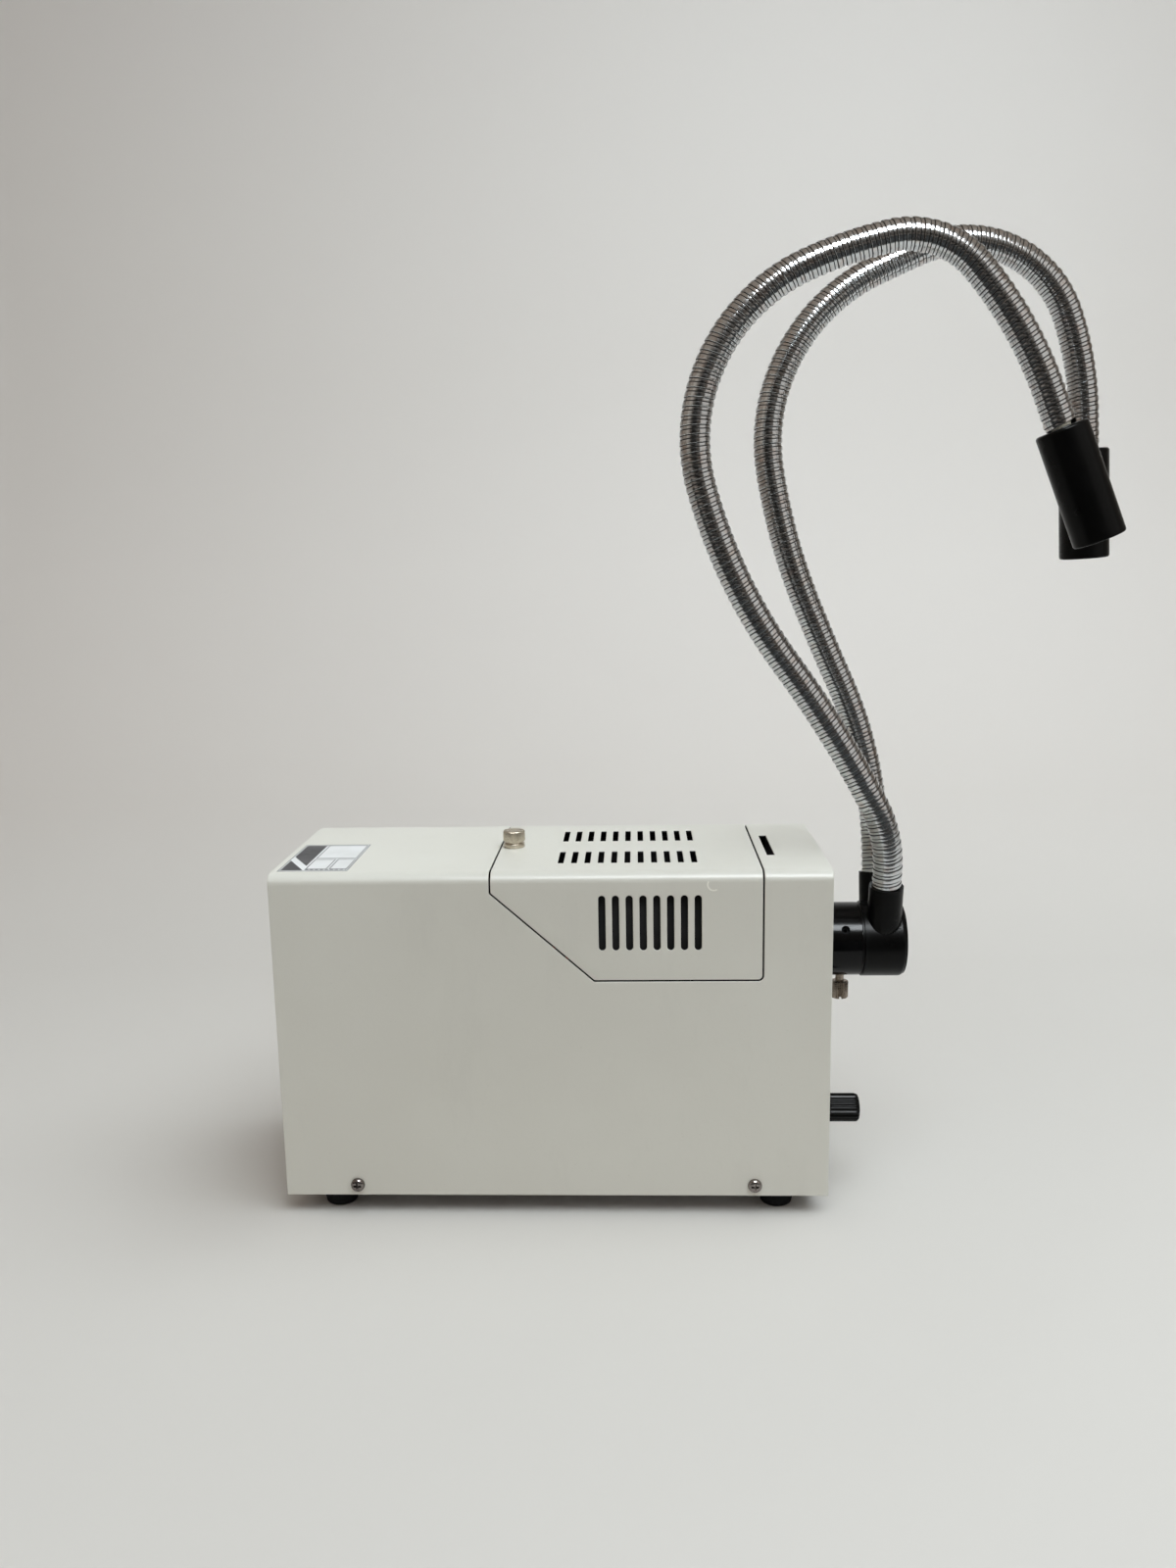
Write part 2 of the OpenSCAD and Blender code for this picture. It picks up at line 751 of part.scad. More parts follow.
// The lean stays the boss's for a start, then goes over into the arm's
lean_from = near_runs[0][0];
function lean_at(s) = s <= lean_from ? boss_lean
    : s >= lean_from + lean_run ? arm_lean
    : boss_lean + (arm_lean - boss_lean) * (s - lean_from) / lean_run;
function spread_at(s) = s <= lean_from ? s * tan(boss_lean)
    : s <= lean_from + lean_run
        ? spread_at(lean_from) + (s - lean_from) * tan((boss_lean + lean_at(s)) / 2)
    : spread_at(lean_from + lean_run) + (s - lean_from - lean_run) * tan(arm_lean);

function bends_of(side) = side < 0 ? near_runs : far_runs;
function place_at(side, s) = along_runs(bends_of(side), s, [boss_at, rim_z, 0]);
function point_at(side, s) =
    let (p = place_at(side, s)) [p[0], side * (rim_y + spread_at(s)), p[1]];
function way_at(side, s) =
    let (heading = place_at(side, s)[2], lean = lean_at(s))
    [sin(heading) * cos(lean), side * sin(lean), cos(heading) * cos(lean)];

// Ring of points round the arm's middle line
function ring_at(side, s, r, count) =
    let (p = point_at(side, s), t = way_at(side, s),
        n1 = [0, 1, 0] - t * t[1], u = n1 / norm(n1), v = cross(t, u))
    [for (k = [0 : count - 1]) p + r * (cos(k * 360 / count) * u + sin(k * 360 / count) * v)];

hose_sides = 8;
bore_step = 14;
// Stretch of ribbed hose with its bore, between two lengths along the arm
module hose_stretch(side, s0, s1) {
    ribs = max(1, round((s1 - s0) / rib_pitch));
    pitch = (s1 - s0) / ribs;
    steps = max(1, round((s1 - s0) / bore_step));
    // an eight-sided ring is drawn through the hose's true radius
    outer = joined([for (i = [0 : ribs - 1])
        [ring_at(side, s0 + pitch * i, hose_d / 2 - rib_depth, hose_sides),
            ring_at(side, s0 + pitch * (i + 0.5), hose_d / 2, hose_sides)]]);
    last = [ring_at(side, s1, hose_d / 2 - rib_depth, hose_sides)];
    bore = [for (i = [steps : -1 : 0])
        ring_at(side, s0 + (s1 - s0) * i / steps, hose_bore / 2, hose_sides)];
    ring_skin(concat(outer, last, bore), hose_sides);
}

bundle_sides = 6;
// Stretch of the fibre bundle inside the hose
module bundle_stretch(side, s0, s1) {
    steps = max(1, round((s1 - s0) / bore_step));
    rod_skin([for (i = [0 : steps])
        ring_at(side, s0 + (s1 - s0) * i / steps, bundle_d / 2, bundle_sides)], bundle_sides);
}

module arm_stretch(side, s0, s1) {
    color([0.78, 0.78, 0.78]) {
        hose_stretch(side, s0, s1);
        bundle_stretch(side, s0, s1);
    }
}

// Points +Z along the arm at a length along it
module on_arm(side, s) {
    translate(point_at(side, s))
        rotate([-side * lean_at(s), place_at(side, s)[2], 0]) children();
}

module base_flex(side) { arm_stretch(side, flex_cuts[0][0], flex_cuts[0][1]); }
module lower_hose(side) { arm_stretch(side, flex_cuts[0][1] + clear, flex_cuts[1][0] - clear); }
module arch_flex(side) { arm_stretch(side, flex_cuts[1][0], flex_cuts[1][1]); }
module upper_hose(side) { arm_stretch(side, flex_cuts[1][1] + clear, flex_cuts[2][0] - clear); }
module tip_flex(side) { arm_stretch(side, flex_cuts[2][0], arm_end(side)); }

sleeve_bore = bundle_d + 2 * clear;
// Sleeve on the hose's end, with the polished end of the bundle in it
module end_sleeve(side) {
    color([0.70, 0.70, 0.71])
        on_arm(side, arm_end(side)) translate([0, 0, clear]) {
            difference() {
                cylinder(h = sleeve_l, d = hose_d, $fn = 64);
                translate([0, 0, -past]) cylinder(h = sleeve_l + 2 * past, d = sleeve_bore, $fn = 48);
            }
            cylinder(h = sleeve_l - clear, d = bundle_d, $fn = 48);
        }
}

tube_wall = 1.5;
collar_l = 14;
lens_seat = 8;
lens_t = 4;
lens_d = lens_tube_d - 2 * tube_wall;
module lens_tube(side) {
    color([0.06, 0.06, 0.06])
        on_arm(side, arm_end(side))
            translate([0, 0, clear])
                difference() {
                    lens_barrel();
                    translate([0, 0, -past])
                        cylinder(h = collar_l + 2 * past, d = hose_d + 2 * run_fit, $fn = 64);
                    translate([0, 0, collar_l])
                        cylinder(h = lens_tube_l - collar_l - lens_seat, d = lens_d - 2, $fn = 64);
                    translate([0, 0, lens_tube_l - lens_seat])
                        cylinder(h = lens_seat + past, d = lens_d, $fn = 64);
                }
}

barrel_edge = 0.8;
module lens_barrel() {
    cylinder(h = barrel_edge, d1 = lens_tube_d - 2 * barrel_edge, d2 = lens_tube_d, $fn = 72);
    translate([0, 0, barrel_edge]) cylinder(h = lens_tube_l - 2 * barrel_edge, d = lens_tube_d, $fn = 72);
    translate([0, 0, lens_tube_l - barrel_edge])
        cylinder(h = barrel_edge, d1 = lens_tube_d, d2 = lens_tube_d - barrel_edge, $fn = 72);
}

// Plano-convex lens on its seat, the flat side towards the bundle
module lens(side) {
    dome_r = 16;
    edge = 1.6;
    lens_r = lens_d / 2 - run_fit;
    drop = sqrt(pow(dome_r, 2) - pow(lens_r, 2));
    color([0.85, 0.92, 0.95, 0.4])
        on_arm(side, arm_end(side))
            translate([0, 0, clear + lens_tube_l - lens_seat])
                intersection() {
                    cylinder(h = lens_t + edge, r = lens_r, $fn = 64);
                    translate([0, 0, edge - drop]) sphere(r = dome_r, $fn = 64);
                }
}

// ---------- controls ----------

control_z = base_z + control_h;
shaft_d = 6;
bush_l = 8;
pot_d = 24;
pot_t = 10;
bush_nut_t = 2;
bush_nut_d = 12.7;
bush_out = 4;
knob_x = panel_x + bush_out + clear;
knob_bore = shaft_d + 2 * run_fit;
flutes = 18;
flute_d = 1.5;
flute_out = 0.35;
cap_edge = 1.4;
knob_cap = 3;
shaft_in = 1;
module on_knob_axis() {
    translate([0, -knob_y, control_z]) children();
}

module knob() {
    color([0.05, 0.05, 0.05])
        on_knob_axis()
            translate([knob_x, 0, 0])
                difference() {
                    union() {
                        rod_x(knob_l - cap_edge, knob_d);
                        translate([knob_l - cap_edge, 0, 0]) rotate([0, 90, 0])
                            cylinder(h = cap_edge, d1 = knob_d, d2 = knob_d - 2 * cap_edge, $fn = 64);
                    }
                    translate([-past, 0, 0]) rod_x(knob_l - knob_cap + past, knob_bore);
                    for (i = [0 : flutes - 1])
                        rotate([i * 360 / flutes, 0, 0])
                            translate([-past, 0, knob_d / 2 + flute_out])
                                rod_x(knob_l + 2 * past, flute_d);
                }
}

module pot_shaft() {
    color([0.75, 0.75, 0.74])
        on_knob_axis()
            translate([panel_x - panel_t - shaft_in, 0, 0])
                rod_x(knob_x + knob_l - knob_cap - clear - panel_x + panel_t + shaft_in, shaft_d);
}

module dimmer_pot() {
    color([0.45, 0.38, 0.28])
        on_knob_axis() {
            difference() {
                union() {
                    translate([panel_x - panel_t - pot_t, 0, 0]) rod_x(pot_t, pot_d);
                    translate([panel_x - panel_t - past, 0, 0])
                        rod_x(panel_t + bush_out + past, bush_d);
                }
                translate([panel_x - panel_t - shaft_in - clear, 0, 0])
                    rod_x(bush_l + pot_t, shaft_d + 2 * run_fit);
            }
            translate([panel_x + snug, 0, 0])
                difference() {
                    rotate([0, 90, 0]) cylinder(h = bush_nut_t, d = bush_nut_d, $fn = 6);
                    translate([-past, 0, 0]) rod_x(bush_nut_t + 2 * past, bush_d + 2 * run_fit);
                }
        }
}

bezel_w = 15;
bezel_h = 21.5;
bezel_t = 2;
well_w = 10.2;
pivot_r = 8.2;
pivot_in = 1.4;
rock_angle = 11;
switch_deep = 15;
pin_d = 2;
pin_end = 0.6;
rocker_dish = 1.8;
pivot_x = panel_x + bezel_t - pivot_in;
module switch_body() {
    color([0.06, 0.06, 0.06])
        translate([0, switch_y, control_z])
            difference() {
                union() {
                    translate([panel_x, -bezel_w / 2, -bezel_h / 2]) cube([bezel_t, bezel_w, bezel_h]);
                    translate([panel_x - switch_deep, -switch_hole_w / 2 + snug,
                            -switch_hole_h / 2 + snug])
                        cube([switch_deep + past, switch_hole_w - 2 * snug, switch_hole_h - 2 * snug]);
                }
                translate([pivot_x, well_w / 2, 0]) rotate([90, 0, 0])
                    cylinder(h = well_w, r = pivot_r + clear, $fn = 64);
                translate([pivot_x, -well_w / 2, -pivot_r - clear])
                    cube([bezel_t + past, well_w, 2 * (pivot_r + clear)]);
                translate([pivot_x, switch_hole_w / 2 - pin_end, 0]) rotate([90, 0, 0])
                    cylinder(h = switch_hole_w - 2 * pin_end, d = pin_d + 2 * run_fit, $fn = 32);
            }
}

// Rocker, shown with its upper half pressed
module switch_rocker() {
    face_x = pivot_in + 0.6;
    lip_x = face_x + rocker_dish;
    color([0.10, 0.10, 0.10])
        translate([pivot_x, switch_y, control_z])
            rotate([0, -rock_angle, 0]) {
                intersection() {
                    rotate([90, 0, 0]) translate([0, 0, -well_w / 2 + clear])
                        cylinder(h = well_w - 2 * clear, r = pivot_r, $fn = 64);
                    across(well_w) polygon([[-pivot_r, -pivot_r / 2], [-pivot_r / 2, -pivot_r],
                        [lip_x, -pivot_r - past], [face_x, 0],
                        [lip_x, pivot_r + past], [-pivot_r / 2, pivot_r],
                        [-pivot_r, pivot_r / 2]]);
                }
                rotate([90, 0, 0]) translate([0, 0, -switch_hole_w / 2 + pin_end + snug])
                    cylinder(h = switch_hole_w - 2 * (pin_end + snug), d = pin_d, $fn = 32);
            }
}

// ---------- rear end ----------

inlet_deep = 26;
inlet_flange = 2;
drawer_w = 21;
drawer_h = 7;
drawer_l = 24;
drawer_up = 11;
drawer_lip = 2;
drawer_floor = 1.2;
drawer_side = 2;
drawer_pull = 1.2;
fuse_d = 5.2;
fuse_l = 20;
well_deep = 16;
plug_w = 22.5;
plug_h = 15.5;
plug_down = 5;
pin_l = 11;
plug_pitch = 7;
plug_step = 1.5;
tail_l = 7;
flange_rim = 1.5;
inlet_pin = [2, 4];
inlet_tag = [0.8, 6];
module mains_inlet() {
    color([0.05, 0.05, 0.05])
        translate([-panel_x, inlet_y, inlet_z]) {
            difference() {
                union() {
                    translate([-inlet_flange, -inlet_w / 2 - flange_rim, -inlet_hole_h / 2 - flange_rim])
                        cube([inlet_flange, inlet_w + 2 * flange_rim, inlet_hole_h + 2 * flange_rim]);
                    translate([-past, -inlet_w / 2 + snug, -inlet_hole_h / 2 + snug])
                        cube([inlet_deep + past, inlet_w - 2 * snug, inlet_hole_h - 2 * snug]);
                }
                translate([-inlet_flange - past, -plug_w / 2, -plug_down - plug_h / 2])
                    cube([well_deep + inlet_flange + past, plug_w, plug_h]);
                translate([-inlet_flange - past, -drawer_w / 2 - clear, drawer_up - drawer_h / 2 - clear])
                    cube([drawer_l + inlet_flange + past, drawer_w + 2 * clear, drawer_h + 2 * clear]);
            }
            for (pin = [[-plug_pitch, -plug_step], [0, plug_step], [plug_pitch, -plug_step]]) {
                translate([well_deep - pin_l, pin[0] - inlet_pin[0] / 2, pin[1] - plug_down - inlet_pin[1] / 2])
                    cube([pin_l + past, inlet_pin[0], inlet_pin[1]]);
                translate([inlet_deep - past, pin[0] - inlet_tag[0] / 2, pin[1] - plug_down - inlet_tag[1] / 2])
                    cube([tail_l + past, inlet_tag[0], inlet_tag[1]]);
            }
        }
}

module fuse_drawer() {
    color([0.08, 0.08, 0.08])
        translate([-panel_x - inlet_flange, inlet_y, inlet_z + drawer_up])
            difference() {
                union() {
                    translate([snug, -drawer_w / 2, -drawer_h / 2])
                        cube([drawer_l + inlet_flange - 2 * clear, drawer_w, drawer_h]);
                    translate([-drawer_pull, -drawer_w / 2, -drawer_h / 2])
                        cube([drawer_pull + past, drawer_w, drawer_h]);
                }
                translate([drawer_lip, -drawer_w / 2 + drawer_side, -drawer_h / 2 + drawer_floor])
                    cube([drawer_l - 2 * drawer_lip + inlet_flange, drawer_w - 2 * drawer_side, drawer_h]);
            }
}

// Glass cartridge fuse lying in its drawer
module fuse() {
    cap_l = 5;
    glass_d = fuse_d - 0.4;
    color([0.80, 0.82, 0.84])
        translate([-panel_x - inlet_flange + drawer_lip + clear, inlet_y,
                inlet_z + drawer_up - drawer_h / 2 + drawer_floor + fuse_d / 2 + snug]) {
            rod_x(fuse_l, glass_d);
            for (x = [0, fuse_l - cap_l]) translate([x, 0, 0]) rod_x(cap_l, fuse_d);
        }
}

fan_x = -panel_x + panel_t;
hub_d = 34;
cup_t = 4;
fan_shaft_d = 3;
fan_screw_d = 4;
spoke_w = 3.5;
module fan_frame() {
    corner = 5;
    flange = 3.5;
    color([0.08, 0.08, 0.08])
        translate([fan_x, 0, fan_z])
            difference() {
                union() {
                    difference() {
                        union() {
                            for (end = [0, fan_t - flange])
                                translate([end, 0, 0]) rounded_plate(flange, fan_w, corner);
                            rod_x(fan_t, fan_bore + 3);
                        }
                        translate([-past, 0, 0]) rod_x(fan_t + 2 * past, fan_bore);
                    }
                    rod_x(cup_t, hub_d);
                    for (turn = [45 : 90 : 315])
                        rotate([turn, 0, 0]) translate([0, -spoke_w / 2, 0])
                            cube([cup_t - 1, spoke_w, fan_bore / 2 + 1]);
                }
                translate([1.5, 0, 0]) rod_x(cup_t, fan_shaft_d + 2 * run_fit);
                for (side = [-1, 1], up = [-1, 1])
                    translate([-past, side * fan_screw_pitch / 2, up * fan_screw_pitch / 2])
                        rod_x(fan_t + 2 * past, fan_screw_d + 2 * run_fit);
            }
}

// Square plate with round corners, standing across X
module rounded_plate(t, w, r) {
    translate([0, -w / 2 + r, -w / 2]) cube([t, w - 2 * r, w]);
    translate([0, -w / 2, -w / 2 + r]) cube([t, w, w - 2 * r]);
    for (side = [-1, 1], up = [-1, 1])
        translate([0, side * (w / 2 - r), up * (w / 2 - r)]) rod_x(t, 2 * r);
}

fan_head_d = 7;
blades = 7;
blade_pitch = 32;
blade_t = 1.4;
module fan_rotor() {
    tip_r = fan_bore / 2 - 1.2;
    hub_l = fan_t - cup_t - 2;
    color([0.10, 0.10, 0.10])
        translate([fan_x + cup_t + clear, 0, fan_z]) {
            rod_x(hub_l, hub_d - 1);
            translate([-2, 0, 0]) rod_x(hub_l, fan_shaft_d);
            intersection() {
                translate([1, 0, 0]) rod_x(hub_l - 2, 2 * tip_r);
                for (i = [0 : blades - 1])
                    rotate([i * 360 / blades, 0, 0])
                        translate([hub_l / 2, 0, 0]) rotate([0, 0, blade_pitch])
                            translate([-hub_l, -blade_t / 2, hub_d / 2 - 2]) cube([2 * hub_l, blade_t, tip_r]);
            }
        }
}

module fan_screws() {
    color([0.10, 0.10, 0.10])
        fan_screw_places() pan_screw(fan_head_d, fan_screw_d, panel_t + fan_t * 0.8);
}

// ---------- inside the lamp house ----------

lamp_d = 50;
lamp_x = 62;
shelf_drop = 30;
shelf_t = 1.2;
shelf_back = 6;
shelf_front = 25.5;
shelf_z = guide_z - shelf_drop - shelf_t;
shelf_x0 = cover_x0 - shelf_back;
shelf_x1 = front_x - shelf_front;
shelf_w = 88;
vent_pitch = 11;
vent_w = 6;

// Folded steel bridge over the transformer; the lamp stands on it
module lamp_shelf() {
    color([0.66, 0.67, 0.68])
        difference() {
            union() {
                translate([shelf_x0, -shelf_w / 2, shelf_z]) cube([shelf_x1 - shelf_x0, shelf_w, shelf_t]);
                for (x = [shelf_x0, shelf_x1 - shelf_t])
                    translate([x, -shelf_w / 2, tray_top]) cube([shelf_t, shelf_w, shelf_z - tray_top]);
            }
            for (i = [-3 : 3])
                translate([shelf_x0 - past, i * vent_pitch - vent_w / 2, tray_top + 2 * vent_w])
                    cube([shelf_t + 2 * past, vent_w, shelf_z - tray_top - 4 * vent_w]);
            for (lead_y = lead_ys)
                translate([lead_x, lead_y, shelf_z - past])
                    cylinder(h = shelf_t + 2 * past, d = lead_hole, $fn = 32);
        }
}

pin_y = 2.65;
pin_w = 1.4;
rim_t = 1.2;
collar_w = 2;
seat_deep = 4;
bracket_foot = 12;
bracket_rim = 8;
// Upright plate with a ring that the lamp's rim sits in
module lamp_bracket() {
    plate_w = lamp_d + 2 * bracket_rim;
    color([0.70, 0.71, 0.72])
        translate([lamp_x, 0, 0])
            difference() {
                union() {
                    translate([0, -plate_w / 2, shelf_z + shelf_t])
                        cube([rim_t, plate_w, guide_z + plate_w / 2 - shelf_z - shelf_t]);
                    translate([-seat_deep, 0, guide_z])
                        rod_x(seat_deep + past / 2, lamp_d + 2 * collar_w + 2 * snug);
                    translate([-bracket_foot, -plate_w / 2, shelf_z + shelf_t])
                        cube([bracket_foot + past / 2, plate_w, rim_t]);
                }
                translate([-past, 0, guide_z]) rod_x(rim_t + 2 * past, lamp_d - 5);
                translate([-seat_deep - past, 0, guide_z]) rod_x(seat_deep + past, lamp_d + 2 * snug);
            }
}

reflector_l = 24;
reflector_neck = 10;
reflector_rim = 3;
neck_r = 8.5;
glass_t = 1.6;
// Pressed glass reflector, open towards the light guide
module lamp_reflector() {
    color([0.80, 0.86, 0.90, 0.5])
        translate([lamp_x, 0, guide_z])
            rotate([0, -90, 0])
                rotate_extrude($fn = 72)
                    polygon(concat(
                        [[lamp_d / 2, 0], [lamp_d / 2, reflector_rim]],
                        [for (i = [1 : 8]) reflector_point(i / 8, 0)],
                        [[neck_r, reflector_l + reflector_neck],
                            [neck_r - glass_t, reflector_l + reflector_neck]],
                        [for (i = [8 : -1 : 1]) reflector_point(i / 8, glass_t)],
                        [[lamp_d / 2 - glass_t, 0]]));
}
function reflector_point(t, wall) =
    let (r = neck_r + (lamp_d / 2 - neck_r) * sqrt(1 - t * t * 0.999))
    [r - wall, reflector_rim + (reflector_l - reflector_rim) * t];

// Quartz capsule with its pins, cemented in the reflector's neck
module lamp_capsule() {
    plug_r = neck_r - glass_t - snug;
    plug_l = 8;
    bulb_d = 8;
    bulb_l = 14;
    lamp_pin_l = 8;
    back = lamp_x - reflector_l;
    color([0.88, 0.88, 0.86]) {
        translate([back - reflector_neck, 0, guide_z]) rod_x(plug_l, 2 * plug_r);
        translate([back - 3, 0, guide_z]) rod_x(bulb_l, bulb_d);
        translate([back - 3 + bulb_l, 0, guide_z]) sphere(d = bulb_d, $fn = 32);
        for (side = [-1, 1])
            translate([back - reflector_neck - lamp_pin_l, side * pin_y, guide_z])
                rod_x(lamp_pin_l + past, pin_w);
    }
}

holder_l = 9;
holder_w = 17;
holder_h = 11;
lamp_back = lamp_x - reflector_l - reflector_neck - snug - holder_l;
module lamp_holder() {
    color([0.93, 0.91, 0.86])
        translate([lamp_back, 0, guide_z])
            difference() {
                translate([0, -holder_w / 2, -holder_h / 2]) cube([holder_l, holder_w, holder_h]);
                for (side = [-1, 1])
                    translate([-past, side * pin_y, 0]) rod_x(holder_l + 2 * past, pin_w + 2 * run_fit);
            }
}

lead_start = 5;
module lamp_leads() {
    color([0.80, 0.20, 0.15])
        for (y = lead_ys)
            lead([[lamp_back - clear, pin_y * sign(y), guide_z],
                [lamp_back - lead_start, pin_y * sign(y), guide_z],
                [lead_x, y, shelf_z + 16], [lead_x, y, shelf_z - 6],
                [coil_x0 - lead_d / 2 - clear, y, coil_top - 8]], lead_d);
}

filter_t = 1.2;
filter_gap = filter_slot_w + 0.8;
filter_w = filter_slot_l + 10;
glass_d = 38;
glass_l = 3;
glass_lip = 0.8;
// Hanging guide behind the filter slot, with the fixed heat glass on its rear face
module filter_frame() {
    low = guide_z - filter_w / 2 + 2;
    color([0.64, 0.65, 0.66])
        translate([filter_x, 0, 0])
            difference() {
                union() {
                    for (x = [-filter_gap / 2 - filter_t, filter_gap / 2])
                        translate([x, -filter_w / 2, low]) cube([filter_t, filter_w, ceiling_z - low]);
                    translate([-filter_gap / 2 - filter_t, -filter_w / 2, low])
                        cube([filter_gap + 2 * filter_t, filter_w, filter_t]);
                    translate([-filter_gap / 2 - filter_t - glass_l - glass_lip, 0, guide_z])
                        rod_x(glass_l + glass_lip, glass_d + 5);
                }
                translate([-filter_gap, 0, guide_z]) rod_x(2 * filter_gap, glass_d - 5);
                translate([-filter_gap / 2 - filter_t - glass_l - past, 0, guide_z])
                    rod_x(glass_l + past, glass_d + 2 * snug);
            }
}

module heat_filter() {
    color([0.70, 0.88, 0.85, 0.5])
        translate([filter_x - filter_gap / 2 - filter_t - glass_l, 0, guide_z]) rod_x(glass_l, glass_d);
}

// The core fills the height under the shelf, less the room for its winding's cover
core_room = 8.6;
limb = (shelf_z - tray_top - core_room) / 2.5;
stack = 38;
transformer_x = (shelf_x0 + shelf_x1) / 2 + 4;
core_l = 3 * limb;
core_h = 2.5 * limb;
window_w = limb / 2;
window_h = 1.5 * limb;
bolt_in = 5;
bolt_out = 4;
bolt_nut_t = 2.4;
bolt_nut_d = 6.2;
coil_over = window_w - 1;
coil_x0 = transformer_x - limb / 2 - coil_over;
coil_top = tray_top + (core_h + window_h) / 2 - clear;
lead_y = stack / 2 + 9;
lead_ys = [-lead_y, lead_y];
lead_x = -11;
lead_hole = 4;
lead_d = 2;
module transformer_core() {
    color([0.35, 0.33, 0.32])
        translate([transformer_x, 0, tray_top])
            difference() {
                translate([-core_l / 2, -stack / 2, 0]) cube([core_l, stack, core_h]);
                for (side = [-1, 1])
                    translate([side * (limb + window_w) / 2 - window_w / 2, -stack / 2 - past,
                            (core_h - window_h) / 2])
                        cube([window_w, stack + 2 * past, window_h]);
                for (side = [-1, 1], up = [0, 1])
                    translate([side * (core_l / 2 - bolt_in), stack / 2 + past,
                            up ? core_h - bolt_in : bolt_in])
                        rotate([90, 0, 0]) cylinder(h = stack + 2 * past, d = screw_d + 2 * run_fit, $fn = 32);
            }
}

module transformer_coil() {
    color([0.72, 0.55, 0.25])
        translate([transformer_x, 0, tray_top + core_h / 2])
            difference() {
                translate([-limb / 2 - coil_over, -stack / 2 - coil_over, -window_h / 2 + clear])
                    cube([limb + 2 * coil_over, stack + 2 * coil_over, window_h - 2 * clear]);
                translate([-limb / 2 - clear, -stack / 2 - clear, -window_h])
                    cube([limb + 2 * clear, stack + 2 * clear, 2 * window_h]);
            }
}

module transformer_bolts() {
    color([0.72, 0.72, 0.70])
        for (side = [-1, 1], up = [0, 1])
            translate([transformer_x + side * (core_l / 2 - bolt_in), 0,
                    tray_top + (up ? core_h - bolt_in : bolt_in)]) {
                translate([0, stack / 2 + bolt_out, 0]) rotate([90, 0, 0])
                    cylinder(h = stack + 2 * bolt_out, d = screw_d, $fn = 32);
                for (end = [-1, 1])
                    translate([0, end * (stack / 2 + bolt_nut_t / 2 + snug), 0]) rotate([90, 0, 0])
                        difference() {
                            cylinder(h = bolt_nut_t, d = bolt_nut_d, center = true, $fn = 6);
                            cylinder(h = 2 * bolt_nut_t, d = screw_d + 2 * run_fit, center = true, $fn = 32);
                        }
            }
}

board_back = 39;
board_l = 48;
board_x = -front_x + board_back;
board_w = 66;
board_t = 1.6;
board_up = 7;
board_margin = 5;
pillar_d = 6;
choke_d = 20;
choke_y = -18;
choke_h = 10;
capacitor = [18, 8, 14];
capacitor_y = -28;
capacitor_pitch = 12;
terminals = [9, 18, 10];
sink_l = 30;
sink_h = 26;
sink_t = 3;
sink_y = 3;
fin_n = 7;
fin_t = 1.4;
fin_deep = 10;
device = [10, 4.5, 15];
module board_corners() {
    for (end = [-1, 1], side = [-1, 1])
        translate([board_x + board_l / 2 + end * (board_l / 2 - board_margin),
                side * (board_w / 2 - board_margin), tray_top])
            children();
}

// Dimmer circuit: the board on its four pillars, with a choke, two capacitors and a terminal block
module dimmer_board() {
    board_z = tray_top + board_up;
    back = board_x + board_l;
    color([0.12, 0.35, 0.18]) {
        translate([board_x, -board_w / 2, board_z]) cube([board_l, board_w, board_t]);
        board_corners() cylinder(h = board_up, d = pillar_d, $fn = 32);
        translate([board_x + choke_d / 2 + board_margin, choke_y, board_z + board_t])
            cylinder(h = choke_h, d = choke_d, $fn = 48);
        for (i = [0, 1])
            translate([back - capacitor[0] - board_margin, capacitor_y + i * capacitor_pitch,
                    board_z + board_t])
                cube(capacitor);
        translate([back - terminals[0] - 2, sink_y, board_z + board_t]) cube(terminals);
    }
}

// Finned heat sink that the dimmer's power device is screwed to
module heat_sink() {
    color([0.45, 0.46, 0.48])
        translate([board_x + board_margin, sink_y, tray_top + board_up + board_t]) {
            cube([sink_l, sink_t, sink_h]);
            for (i = [0 : fin_n - 1])
                translate([i * (sink_l - fin_t) / (fin_n - 1), sink_t - past / 2, 0])
                    cube([fin_t, fin_deep, sink_h]);
            translate([(sink_l - device[0]) / 2, -device[1], sink_h - device[2] - 3])
                cube([device[0], device[1] + past / 2, device[2]]);
        }
}

module mains_leads() {
    x0 = -panel_x + inlet_deep + tail_l + clear;
    lane_y = (shelf_w + inner_w) / 4;
    lane_z = tray_top + tray_flange_h + 3 * lead_d;
    pin_z = inlet_z - plug_down - plug_step;
    end_x = panel_x - switch_deep - clear;
    gap = 2 * lead_d;
    color([0.16, 0.30, 0.60])
        for (i = [-1, 1])
            lead([[x0, inlet_y + i * plug_pitch, pin_z],
                [x0 + lead_start, inlet_y + i * plug_pitch, pin_z],
                [shelf_x0 - 12, lane_y, lane_z + i * gap],
                [shelf_x1 + 3, lane_y, lane_z + i * gap],
                [end_x - lead_start, switch_y + i * 3, control_z + i * gap],
                [end_x, switch_y + i * 3, control_z + i * gap]], lead_d);
}

// ---------- drawing ----------

